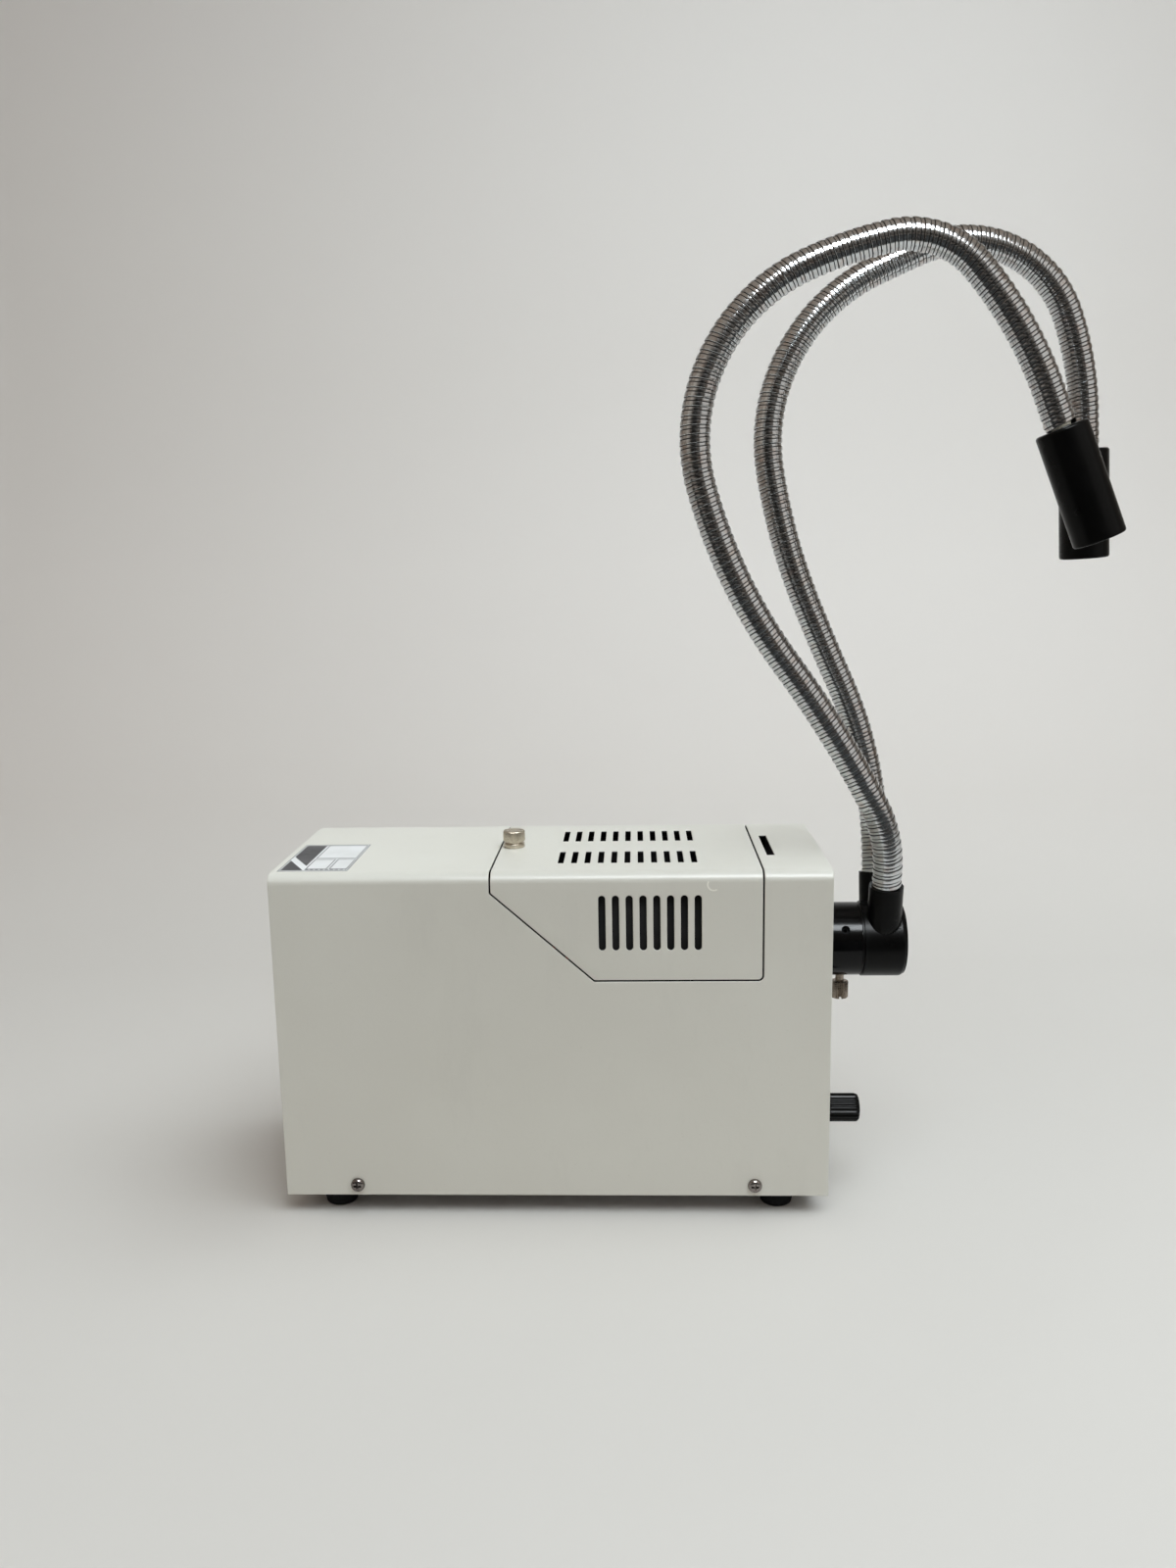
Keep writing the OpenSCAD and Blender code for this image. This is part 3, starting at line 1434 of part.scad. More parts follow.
case_shell();
lamp_cover();
cover_screw();
cover_bracket();
chassis_tray();
front_panel();
rear_panel();
feet();
foot_screws();
side_screws();
rating_label();
guide_socket();
socket_nut();
guide_clamp_screw();
socket_set_screw();
knob();
pot_shaft();
dimmer_pot();
switch_body();
switch_rocker();
mains_inlet();
fuse_drawer();
fuse();
fan_frame();
fan_rotor();
fan_screws();
transformer_core();
transformer_coil();
transformer_bolts();
dimmer_board();
heat_sink();
lamp_shelf();
lamp_bracket();
lamp_reflector();
lamp_capsule();
lamp_holder();
heat_filter();
filter_frame();
lamp_leads();
mains_leads();
guide_ferrule();
fibre_trunk();
y_head();
base_flex(-1);  // near_base_flex
lower_hose(-1);  // near_lower_hose
arch_flex(-1);  // near_arch_flex
upper_hose(-1);  // near_upper_hose
tip_flex(-1);  // near_tip_flex
end_sleeve(-1);  // near_end_sleeve
lens_tube(-1);  // near_lens_tube
lens(-1);  // near_lens
base_flex(1);  // far_base_flex
lower_hose(1);  // far_lower_hose
arch_flex(1);  // far_arch_flex
upper_hose(1);  // far_upper_hose
tip_flex(1);  // far_tip_flex
end_sleeve(1);  // far_end_sleeve
lens_tube(1);  // far_lens_tube
lens(1);  // far_lens
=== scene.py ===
import json
import math

import bmesh
import bpy
import numpy as np
from mathutils import Matrix, Vector

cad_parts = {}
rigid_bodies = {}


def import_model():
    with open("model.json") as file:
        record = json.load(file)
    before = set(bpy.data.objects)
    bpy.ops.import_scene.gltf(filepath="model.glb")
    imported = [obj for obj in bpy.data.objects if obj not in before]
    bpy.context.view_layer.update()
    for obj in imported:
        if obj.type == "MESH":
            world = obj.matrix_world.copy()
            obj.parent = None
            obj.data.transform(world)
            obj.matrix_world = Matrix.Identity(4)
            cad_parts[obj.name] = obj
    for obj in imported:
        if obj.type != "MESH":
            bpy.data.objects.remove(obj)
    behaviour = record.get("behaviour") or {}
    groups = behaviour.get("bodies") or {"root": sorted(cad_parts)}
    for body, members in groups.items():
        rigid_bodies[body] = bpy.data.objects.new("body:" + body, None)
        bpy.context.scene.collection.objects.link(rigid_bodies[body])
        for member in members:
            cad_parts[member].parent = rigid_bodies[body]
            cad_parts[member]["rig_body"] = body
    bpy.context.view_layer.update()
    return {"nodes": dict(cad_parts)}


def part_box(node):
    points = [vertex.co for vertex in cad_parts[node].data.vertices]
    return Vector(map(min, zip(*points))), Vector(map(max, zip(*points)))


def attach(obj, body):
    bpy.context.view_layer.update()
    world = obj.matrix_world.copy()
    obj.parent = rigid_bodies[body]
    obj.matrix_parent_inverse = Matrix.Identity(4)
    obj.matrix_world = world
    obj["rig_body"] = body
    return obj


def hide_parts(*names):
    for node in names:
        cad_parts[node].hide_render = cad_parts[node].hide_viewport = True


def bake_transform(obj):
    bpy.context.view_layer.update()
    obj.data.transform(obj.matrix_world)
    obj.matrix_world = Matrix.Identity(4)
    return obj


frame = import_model()
nodes = frame["nodes"]
scene = bpy.context.scene
MM = 0.001

# ---------- camera ----------

CAMERA_AT = (0.0388, -0.56245, 0.2919)
CAMERA_TURN = (10.41, -2.32, -1.02)    # degrees down, to the right and clockwise
LENS, SENSOR = 28.285, 36              # mm


def make_camera():
    """Stands the camera where the photograph's stood, from a fit on the case's edges."""
    pitch, yaw, roll = (math.radians(angle) for angle in CAMERA_TURN)
    ahead = Vector((math.sin(yaw) * math.cos(pitch), math.cos(yaw) * math.cos(pitch), -math.sin(pitch)))
    right = Vector((math.cos(yaw), -math.sin(yaw), 0))
    up = right.cross(ahead)
    across = right * math.cos(roll) + up * math.sin(roll)
    upward = up * math.cos(roll) - right * math.sin(roll)
    data = bpy.data.cameras.new("camera")
    data.lens = LENS
    data.sensor_width = SENSOR
    data.clip_start = 0.01
    camera = bpy.data.objects.new("camera", data)
    scene.collection.objects.link(camera)
    turn = Matrix((across, upward, -ahead)).transposed().to_4x4()
    camera.matrix_world = Matrix.Translation(CAMERA_AT) @ turn
    scene.camera = camera


make_camera()

# ---------- materials ----------

SKIN_Y = -0.049    # just inside the near side's outer face, in metres


def set_ramp(ramp, stops, smooth):
    """Gives a colour ramp its stops of a place and a colour."""
    if smooth:
        ramp.interpolation = "EASE"
    while len(ramp.elements) < len(stops):
        ramp.elements.new(0.5)
    for element, (at, colour) in zip(ramp.elements, stops):
        element.position = at
        element.color = (*colour, 1)


class Nodes:
    """A material's node tree, with short calls for the nodes that the materials here are made of."""

    def __init__(self, name):
        self.material = bpy.data.materials.new(name)
        self.material.use_nodes = True
        self.tree = self.material.node_tree
        self.tree.nodes.clear()
        out = self.add("ShaderNodeOutputMaterial")
        self.shader = self.add("ShaderNodeBsdfPrincipled")
        self.link(self.shader, 0, out, "Surface")
        self.place = self.add("ShaderNodeTexCoord")

    def add(self, kind, **values):
        node = self.tree.nodes.new(kind)
        for key, value in values.items():
            setattr(node, key, value)
        return node

    def link(self, a, out, b, into):
        self.tree.links.new(a.outputs[out], b.inputs[into])

    def set(self, **values):
        """Sets the shader's own sockets, which are named with underscores for spaces."""
        for key, value in values.items():
            self.shader.inputs[key.replace("_", " ")].default_value = value

    def spot(self, scale=(1, 1, 1)):
        """The object's own coordinates, scaled."""
        mapping = self.add("ShaderNodeMapping")
        mapping.inputs["Scale"].default_value = scale
        self.link(self.place, "Object", mapping, "Vector")
        return mapping

    def xyz(self):
        """The object's own coordinates, one output each."""
        split = self.add("ShaderNodeSeparateXYZ")
        self.link(self.place, "Object", split, "Vector")
        return split

    def noise(self, scale, detail=3.0, rough=0.5, stretch=(1, 1, 1)):
        node = self.add("ShaderNodeTexNoise")
        node.inputs["Scale"].default_value = scale
        node.inputs["Detail"].default_value = detail
        node.inputs["Roughness"].default_value = rough
        self.link(self.spot(stretch), 0, node, "Vector")
        return node

    def ramp(self, source, out, stops, smooth=False):
        """A colour ramp over a node's output, from stops of a place and a colour."""
        node = self.add("ShaderNodeValToRGB")
        set_ramp(node.color_ramp, stops, smooth)
        self.link(source, out, node, "Fac")
        return node

    def mix(self, factor, a, b, way="MIX"):
        """A colour mix; each argument is a number, a colour or a (node, output) pair."""
        node = self.add("ShaderNodeMix", data_type="RGBA", blend_type=way)
        for value, socket in ((factor, 0), (a, 6), (b, 7)):
            if isinstance(value, tuple) and isinstance(value[0], bpy.types.Node):
                self.tree.links.new(value[0].outputs[value[1]], node.inputs[socket])
            elif isinstance(value, (int, float)):
                node.inputs[socket].default_value = value
            else:
                node.inputs[socket].default_value = (*value, 1)
        return node

    def span(self, source, out, low, high, to_low, to_high):
        """A node's output, mapped from one range to another and held there."""
        node = self.add("ShaderNodeMapRange")
        for key, value in (("From Min", low), ("From Max", high), ("To Min", to_low), ("To Max", to_high)):
            node.inputs[key].default_value = value
        self.link(source, out, node, "Value")
        return node

    def within(self, half, top, radius, reach):
        """1 inside an arch twice half wide and top high, its shoulders rounded by radius, from -reach to reach."""
        split = self.xyz()
        across = self.math("ABSOLUTE", (split, "Y"))
        out = self.math("MAXIMUM", (self.math("SUBTRACT", (across, 0), half - radius), 0), 0.0)
        up = self.math("MAXIMUM", (self.math("SUBTRACT", (split, "Z"), top - radius), 0), 0.0)
        squares = [(self.math("MULTIPLY", (node, 0), (node, 0)), 0) for node in (out, up)]
        inner = self.math("LESS_THAN", (self.math("ADD", *squares), 0), radius ** 2)
        short = self.math("LESS_THAN", (self.math("ABSOLUTE", (split, "X")), 0), reach)
        return self.math("MULTIPLY", (inner, 0), (short, 0))

    def arc(self, x, z, radius):
        """1 on a thin quarter ring that stands on the near side's skin."""
        thin, cut = 0.12, -0.3    # as parts of the radius
        split = self.xyz()
        right = self.math("SUBTRACT", (split, "X"), x)
        up = self.math("SUBTRACT", (split, "Z"), z)
        far = self.math("SQRT", (self.math("ADD", (self.math("MULTIPLY", (right, 0), (right, 0)), 0),
                                            (self.math("MULTIPLY", (up, 0), (up, 0)), 0)), 0))
        ring = self.math("COMPARE", (far, 0), radius, radius * thin)
        low = self.math("LESS_THAN", (self.math("ADD", (right, 0), (up, 0)), 0), radius * cut)
        skin = self.math("LESS_THAN", (split, "Y"), SKIN_Y)
        return self.math("MULTIPLY", (ring, 0), (self.math("MULTIPLY", (low, 0), (skin, 0)), 0))

    def math(self, operation, *values):
        """A maths node on numbers and (node, output) pairs."""
        node = self.add("ShaderNodeMath", operation=operation)
        for i, value in enumerate(values):
            if isinstance(value, tuple):
                self.tree.links.new(value[0].outputs[value[1]], node.inputs[i])
            else:
                node.inputs[i].default_value = value
        return node

    def rough(self, node, low, high):
        """Roughness between two numbers, as a noise goes from its usual low to its usual high."""
        self.link(self.span(node, "Fac", 0.35, 0.65, low, high), 0, self.shader, "Roughness")

    def bump(self, sources, strength, distance, edge=0.0):
        """Bump from the sum of (node, output) sources, over a rounded-edge normal where edge is given."""
        node = self.add("ShaderNodeBump")
        node.inputs["Strength"].default_value = strength
        node.inputs["Distance"].default_value = distance
        total = sources[0]
        for other in sources[1:]:
            total = (self.math("ADD", total, other), 0)
        self.link(*total, node, "Height")
        if edge:
            bevel = self.add("ShaderNodeBevel", samples=4)
            bevel.inputs["Radius"].default_value = edge
            self.link(bevel, 0, node, "Normal")
        self.link(node, 0, self.shader, "Normal")


IVORY = (0.745, 0.728, 0.662)
IVORY_DARK = (0.715, 0.695, 0.628)
# Near-black painted shade on the case's inner faces, seen through its slots and in the cover's seam
INSIDE_SHADE_BLACK = (0.012, 0.012, 0.012)
CASE_SHADED_INSIDE = (0.0489, 0.15855, 0.0048, 0.1185)    # half width, top, shoulders and reach of the case's inner face, painted near-black as shade
SCUFF = (0.0712, 0.1531, 0.0026)                   # x, z and radius, on the near side


def paint(name, colour, dark, edge, inside=None, scuff=None):
    """Satin powder coat: faint clouding, fine orange peel, a little handling dirt; painted near-black inside a case as
    shade in its slots and seam, and with one small curved scuff on its near side where a place (x, z, radius) is given."""
    m = Nodes(name)
    cloud = m.noise(9, 4, 0.55)
    dirt = m.noise(34, 6, 0.7, (1, 1, 0.35))
    tone = m.ramp(cloud, "Fac", [(0.3, dark), (0.7, colour)], True)
    specks = m.noise(900, 2, 0.5)
    spot = m.ramp(specks, "Fac", [(0.70, (0, 0, 0)), (0.76, (1, 1, 1))])
    worn = m.mix((m.ramp(dirt, "Fac", [(0.56, (0, 0, 0)), (0.8, (0.35, 0.35, 0.35))]), 0), (tone, 0),
                 tuple(c * 0.88 for c in dark))
    last = m.mix((m.span(spot, 0, 0, 1, 0, 0.12), 0), (worn, 2), tuple(c * 0.6 for c in dark))
    if scuff:
        last = m.mix((m.arc(*scuff), 0), (last, 2), tuple(c * 1.25 for c in colour))
    # Painted shade: the case's inner faces, and the seam's walls below the skin, go near-black
    if inside:
        last = m.mix((m.within(*inside), 0), (last, 2), INSIDE_SHADE_BLACK)
    m.link(last, 2, m.shader, "Base Color")
    m.set(Specular_IOR_Level=0.42)
    m.rough(cloud, 0.36, 0.44)
    peel = m.noise(420, 3, 0.5)
    grain = m.noise(2600, 2, 0.5)
    m.bump([(m.span(peel, "Fac", 0, 1, 0, 1), 0), (m.span(grain, "Fac", 0, 1, 0, 0.35), 0)], 0.10, 0.0004, edge)
    return m.material


def metal(name, colour, dark, rough, grain=(1, 1, 12), scale=260, bump=0.06, edge=0.0002):
    """Worked metal: a grain one way, cloudy tone, roughness that varies with it."""
    m = Nodes(name)
    lines = m.noise(scale, 5, 0.6, grain)
    cloud = m.noise(28, 4, 0.6)
    tone = m.ramp(cloud, "Fac", [(0.3, dark), (0.72, colour)], True)
    fine = m.mix((m.span(lines, "Fac", 0.35, 0.65, 0, 0.35), 0), (tone, 0), tuple(c * 0.8 for c in dark))
    m.link(fine, 2, m.shader, "Base Color")
    m.set(Metallic=1.0)
    m.rough(lines, rough[0], rough[1])
    m.bump([(lines, "Fac")], bump, 0.0003, edge)
    return m.material


def plastic(name, colour, rough, grain=1400, bump=0.12, coat=0.0, edge=0.0002, specular=0.5):
    """Moulded plastic or rubber: a fine spark-eroded grain, faint clouding and dust."""
    m = Nodes(name)
    cloud = m.noise(40, 4, 0.6)
    dust = m.noise(310, 5, 0.7)
    tone = m.ramp(cloud, "Fac", [(0.3, tuple(c * 0.75 for c in colour)), (0.7, colour)], True)
    pale = tuple(min(1, c * 1.8 + 0.002) for c in colour)
    last = m.mix((m.span(dust, "Fac", 0.55, 0.8, 0, 0.35), 0), (tone, 0), pale)
    m.link(last, 2, m.shader, "Base Color")
    m.set(Coat_Weight=coat, Coat_Roughness=0.08, Specular_IOR_Level=specular)
    m.rough(cloud, rough[0], rough[1])
    fine = m.noise(grain, 2, 0.5)
    m.bump([(fine, "Fac")], bump, 0.0002, edge)
    return m.material


def glass(name, colour, rough, ior):
    """Clear glass with a faint cloudy tint."""
    m = Nodes(name)
    cloud = m.noise(60, 3, 0.5)
    m.link(m.ramp(cloud, "Fac", [(0.3, tuple(c * 0.94 for c in colour)), (0.7, colour)], True), 0,
           m.shader, "Base Color")
    m.set(Transmission_Weight=1.0, IOR=ior)
    m.rough(cloud, rough[0], rough[1])
    return m.material


looks = {
    "case_paint": paint("case_paint", IVORY, IVORY_DARK, 0.0, CASE_SHADED_INSIDE, SCUFF),
    "panel_paint": paint("panel_paint", IVORY, IVORY_DARK, 0.0003),
    "zinc": metal("zinc", (0.62, 0.64, 0.66), (0.50, 0.52, 0.54), (0.28, 0.46), (1, 1, 1), 120),
    "nickel": metal("nickel", (0.62, 0.56, 0.46), (0.56, 0.50, 0.41), (0.26, 0.36), (1, 1, 6), 500, 0.01, 0.0001),
    "worn_nickel": metal("worn_nickel", (0.34, 0.29, 0.24), (0.24, 0.20, 0.16), (0.22, 0.36), (1, 1, 6), 500, 0.03,
                         0.0001),
    "screw_steel": metal("screw_steel", (0.30, 0.27, 0.25), (0.20, 0.18, 0.17), (0.16, 0.28), (1, 1, 1), 400, 0.03,
                         0.0),
    "rubber": plastic("rubber", (0.006, 0.006, 0.0065), (0.62, 0.78), 1100, 0.2, specular=0.14),
    "black_anodised": plastic("black_anodised", (0.0020, 0.0020, 0.0022), (0.12, 0.17), 1500, 0.03, 0.0, 0.0, 0.16),
    "black_satin": plastic("black_satin", (0.0025, 0.0025, 0.0025), (0.26, 0.34), 1500, 0.05, 0.0, 0.0, 0.11),
    "black_plastic": plastic("black_plastic", (0.006, 0.006, 0.0065), (0.28, 0.40), 1400, 0.05, 0.0, 0.0002, 0.25),
    "black_gloss": plastic("black_gloss", (0.0025, 0.0025, 0.0025), (0.08, 0.12), 900, 0.02, 0.0, 0.0001, 0.13),
    "pointer": plastic("pointer", (0.75, 0.75, 0.72), (0.4, 0.5), 900, 0.05),
    "steel": metal("steel", (0.72, 0.73, 0.74), (0.60, 0.61, 0.62), (0.18, 0.32), (1, 1, 8), 400),
    "iron": metal("iron", (0.30, 0.28, 0.27), (0.20, 0.19, 0.18), (0.42, 0.60), (1, 30, 1), 320, 0.35),
    "copper": metal("copper", (0.66, 0.34, 0.14), (0.48, 0.22, 0.08), (0.28, 0.42), (1, 1, 26), 240, 0.45),
    "board": plastic("board", (0.05, 0.17, 0.07), (0.30, 0.45), 700, 0.15, 0.15),
    "alu": metal("alu", (0.58, 0.59, 0.61), (0.46, 0.47, 0.49), (0.30, 0.46), (1, 1, 14), 300),
    "ceramic": plastic("ceramic", (0.78, 0.74, 0.66), (0.50, 0.66), 900, 0.2),
    "wire_red": plastic("wire_red", (0.42, 0.05, 0.04), (0.35, 0.50), 900, 0.1),
    "wire_blue": plastic("wire_blue", (0.05, 0.12, 0.34), (0.35, 0.50), 900, 0.1),
    "quartz": glass("quartz", (0.90, 0.92, 0.93), (0.06, 0.14), 1.46),
    # The lamp's reflector: bluish-dark as a dichroic reflector's back is, and near-black as painted shade seen through
    # the slots
    "lamp_glass": plastic("lamp_glass", (0.020, 0.022, 0.030), (0.10, 0.20), 600, 0.02, specular=0.6),
    # Near-black steel: painted shade inside the lamp house and its cover, seen through the slots
    "slot_shade_steel": metal("slot_shade_steel", (0.055, 0.053, 0.052), (0.030, 0.030, 0.030), (0.5, 0.65), (1, 1, 1), 120),
    "heat_glass": glass("heat_glass", (0.66, 0.88, 0.84), (0.03, 0.08), 1.5),
    "lens_glass": glass("lens_glass", (0.93, 0.96, 0.97), (0.01, 0.03), 1.52),
}


def fibre_look():
    """Ends of packed glass fibres, seen as fine cells in a pale resin."""
    m = Nodes("fibre")
    cells = m.add("ShaderNodeTexVoronoi")
    cells.inputs["Scale"].default_value = 3600
    m.link(m.spot(), 0, cells, "Vector")
    m.link(m.ramp(cells, "Distance", [(0.0, (0.90, 0.86, 0.74)), (0.8, (0.42, 0.38, 0.30))], True), 0,
           m.shader, "Base Color")
    m.set(Coat_Weight=0.5, Coat_Roughness=0.05)
    m.link(m.span(cells, "Distance", 0, 1, 0.12, 0.5), 0, m.shader, "Roughness")
    m.bump([(cells, "Distance")], 0.2, 0.0001)
    return m.material


def chrome_look():
    """Bright rolled strip: its own lengthwise scratches, blued and browned a little in places."""
    m = Nodes("hose_chrome")
    cloud = m.noise(170, 4, 0.6)
    lines = m.noise(1500, 3, 0.6)
    tone = m.ramp(cloud, "Fac", [(0.28, (0.54, 0.48, 0.45)), (0.5, (0.61, 0.64, 0.66)), (0.75, (0.58, 0.54, 0.51))])
    m.link(tone, 0, m.shader, "Base Color")
    m.set(Metallic=1.0)
    m.rough(lines, 0.10, 0.22)
    m.bump([(lines, "Fac")], 0.04, 0.0002)
    return m.material


def hose_shade_look():
    """Painted shade in the seam where one turn slides into the next, and in the strip's grooves and on the shoulders
    beside them.
    """
    m = Nodes("hose_groove_shade")
    cloud = m.noise(400, 3, 0.6)
    tone = m.ramp(cloud, "Fac", [(0.3, (0.020, 0.018, 0.016)), (0.7, (0.055, 0.050, 0.046))])
    m.link(tone, 0, m.shader, "Base Color")
    m.set(Metallic=0.6)
    m.rough(cloud, 0.45, 0.6)
    return m.material


# Blank outlines on the label, as parts of its length and width: x from, x to, y from, y to
LABEL_BOXES = ((0.37, 0.97, 0.46, 0.97), (0.37, 0.68, 0.07, 0.43), (0.71, 0.97, 0.07, 0.43))
LABEL_INK = (0.05, 0.05, 0.06)


def label_look():
    """White film with a blank dark block, thin blank boxes and a broken line; no lettering."""
    low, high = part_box("rating_label")
    m = Nodes("label")
    split = m.xyz()
    x = m.span(split, "X", low.x, high.x, 0, 1)
    y = m.span(split, "Y", low.y, high.y, 0, 1)

    def inside(node, a, b):
        return m.math("MULTIPLY", (m.math("GREATER_THAN", (node, 0), a), 0), (m.math("LESS_THAN", (node, 0), b), 0))

    def both_of(a, b, way="MULTIPLY"):
        return m.math(way, (a, 0), (b, 0))

    def frame_of(x0, x1, y0, y1, line=0.014):
        outer = both_of(inside(x, x0, x1), inside(y, y0, y1))
        inner = both_of(inside(x, x0 + line, x1 - line), inside(y, y0 + line, y1 - line))
        return both_of(outer, inner, "SUBTRACT")

    lines = frame_of(0.0, 1.0, 0.0, 1.0)
    for box in LABEL_BOXES:
        lines = both_of(lines, frame_of(*box), "MAXIMUM")
    dashes = m.math("GREATER_THAN", (m.math("FRACT", (m.math("MULTIPLY", (x, 0), 14.0), 0)), 0), 0.25)
    dashes = both_of(dashes, both_of(inside(x, 0.37, 0.97), inside(y, 0.035, 0.065)))
    lines = both_of(lines, dashes, "MAXIMUM")
    block = both_of(inside(x, 0.03, 0.34), inside(y, 0.03, 0.97))
    slant = m.math("ADD", (m.math("MULTIPLY", (x, 0), 1.1), 0), (y, 0))
    block = both_of(block, inside(slant, 0.42, 0.56), "SUBTRACT")
    cloud = m.noise(90, 4, 0.6)
    grime = m.ramp(cloud, "Fac", [(0.3, (0.76, 0.76, 0.75)), (0.7, (0.84, 0.84, 0.84))], True)
    filled = m.mix((block, 0), (grime, 0), (0.055, 0.055, 0.06))
    m.link(m.mix((lines, 0), (filled, 2), LABEL_INK), 2, m.shader, "Base Color")
    m.rough(cloud, 0.35, 0.5)
    m.bump([(cloud, "Fac")], 0.05, 0.0002)
    return m.material


looks["fibre"] = fibre_look()
looks["hose_chrome"] = chrome_look()
looks["hose_groove_shade"] = hose_shade_look()
looks["label"] = label_look()

# Nodes whose look isn't their slot's: steel inside the lamp house, near-black as painted shade seen through the slots,
# and a set screw, near-black as painted shade in its hole
OTHER_LOOKS = {"lamp_shelf": "slot_shade_steel", "lamp_bracket": "slot_shade_steel", "filter_frame": "slot_shade_steel",
               "cover_bracket": "slot_shade_steel", "socket_set_screw": "rubber"}
for name, item in nodes.items():
    for held in item.material_slots:
        held.material = looks[OTHER_LOOKS.get(name, held.material.name.split(".")[0])]

# ---------- mesh helpers ----------


def add_piece(name, points, faces, materials, index=None, sharp=30):
    """A piece from points in metres and faces; index picks each face's look, and sharp is an angle in degrees."""
    mesh = bpy.data.meshes.new(name)
    mesh.from_pydata([tuple(p) for p in points], [], [tuple(f) for f in faces])
    for look in materials:
        mesh.materials.append(looks[look])
    if index is not None:
        mesh.polygons.foreach_set("material_index", np.asarray(index, np.int32))
    mesh.polygons.foreach_set("use_smooth", np.ones(len(mesh.polygons), bool))
    mesh.set_sharp_from_angle(angle=math.radians(sharp))
    mesh.validate()
    mesh.update()
    item = bpy.data.objects.new(name, mesh)
    scene.collection.objects.link(item)
    return item


def lathe(profile, count, place, teeth=None):
    """Rings of points round a frame's Z axis, from [height, radius] pairs; teeth(i, k) changes a radius."""
    origin, u, v, w = place
    points = []
    for i, (h, r) in enumerate(profile):
        for k in range(count):
            a = 2 * math.pi * k / count
            rr = r if teeth is None else teeth(i, k, r)
            points.append(origin + w * h + (u * math.cos(a) + v * math.sin(a)) * rr)
    faces = []
    for i in range(len(profile) - 1):
        for k in range(count):
            n = (k + 1) % count
            faces.append((i * count + k, i * count + n, (i + 1) * count + n, (i + 1) * count + k))
    return points, faces


def place_of(origin, way):
    """Frame at a point with its third axis along a way."""
    w = Vector(way).normalized()
    u = w.orthogonal().normalized()
    return Vector(origin), u, w.cross(u), w


SAME_POINT = 2e-6          # metres within which the CAD's corners are one
FLAT, EDGE = 0.6, 28       # degrees below which faces are one flat, and above which an edge is rounded


def soften(node, width, clamp):
    """Stands in for a CAD solid with its edges rounded off by a width in metres, as bent or turned edges are."""
    source = nodes[node]
    mesh = source.data.copy()
    work = bmesh.new()
    work.from_mesh(mesh)
    bmesh.ops.remove_doubles(work, verts=work.verts, dist=SAME_POINT)
    bmesh.ops.dissolve_limit(work, angle_limit=math.radians(FLAT), verts=work.verts, edges=work.edges)
    bmesh.ops.recalc_face_normals(work, faces=work.faces)
    edges = [e for e in work.edges if len(e.link_faces) == 2 and e.calc_face_angle(0) > math.radians(EDGE)]
    bmesh.ops.bevel(work, geom=edges, offset=width, segments=2, profile=0.5, affect="EDGES", clamp_overlap=clamp)
    work.to_mesh(mesh)
    work.free()
    mesh.polygons.foreach_set("use_smooth", np.ones(len(mesh.polygons), bool))
    item = bpy.data.objects.new("soft_edged_" + node, mesh)
    scene.collection.objects.link(item)
    normals = item.modifiers.new("normals", "WEIGHTED_NORMAL")
    normals.keep_sharp = True
    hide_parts(node)
    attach(item, source["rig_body"])


# Node, width of its rounded edges in mm, and whether the width gives way in narrow places
for node, width, clamp in (
        ("case_shell", 0.45, False), ("lamp_cover", 0.45, False), ("guide_socket", 0.5, True), ("y_head", 0.45, True),
        ("near_lens_tube", 0.35, True), ("far_lens_tube", 0.35, True), ("switch_body", 0.5, True),
        ("switch_rocker", 0.3, True), ("front_panel", 0.25, True), ("rear_panel", 0.25, True),
        ("mains_inlet", 0.3, True), ("feet", 0.6, True)):
    soften(node, width * MM, clamp)

# ---------- arms ----------

# The arms' middle lines: for each side, the length of each bend in mm and its turn in degrees, from the boss on
BENDS = {
    -1: [(8, 0), (31.7, -27.7), (75.6, -8.7), (84.3, 20.6), (107.7, 83.5), (34.4, 11.5), (40.2, 60), (60.1, 19.4),
         (14, 0)],
    1: [(8, 0), (85.2, -24.5), (40.2, 2.2), (62.4, 13), (105.9, 76), (18.5, 0.1), (83, 92), (44.8, 17.5), (14, 0)],
}
BOSS_AT, RIM_Y, RIM_Z = 152.0, 13.2135, 142.3                       # the middle of a boss's rim
BOSS_LEAN, ARM_LEAN, LEAN_FROM, LEAN_TO = 10.0, 1.2, 8.0, 50.0      # outward lean, easing off between two lengths
HOSE_IN, NEAR_L, FAR_L = 6.0, 456.0, 462.0                          # how deep a hose sits in its boss; its length
MARKS = [mark * NEAR_L / sum(length for length, turn in BENDS[-1]) for mark in (50, 235, 295, 400)]


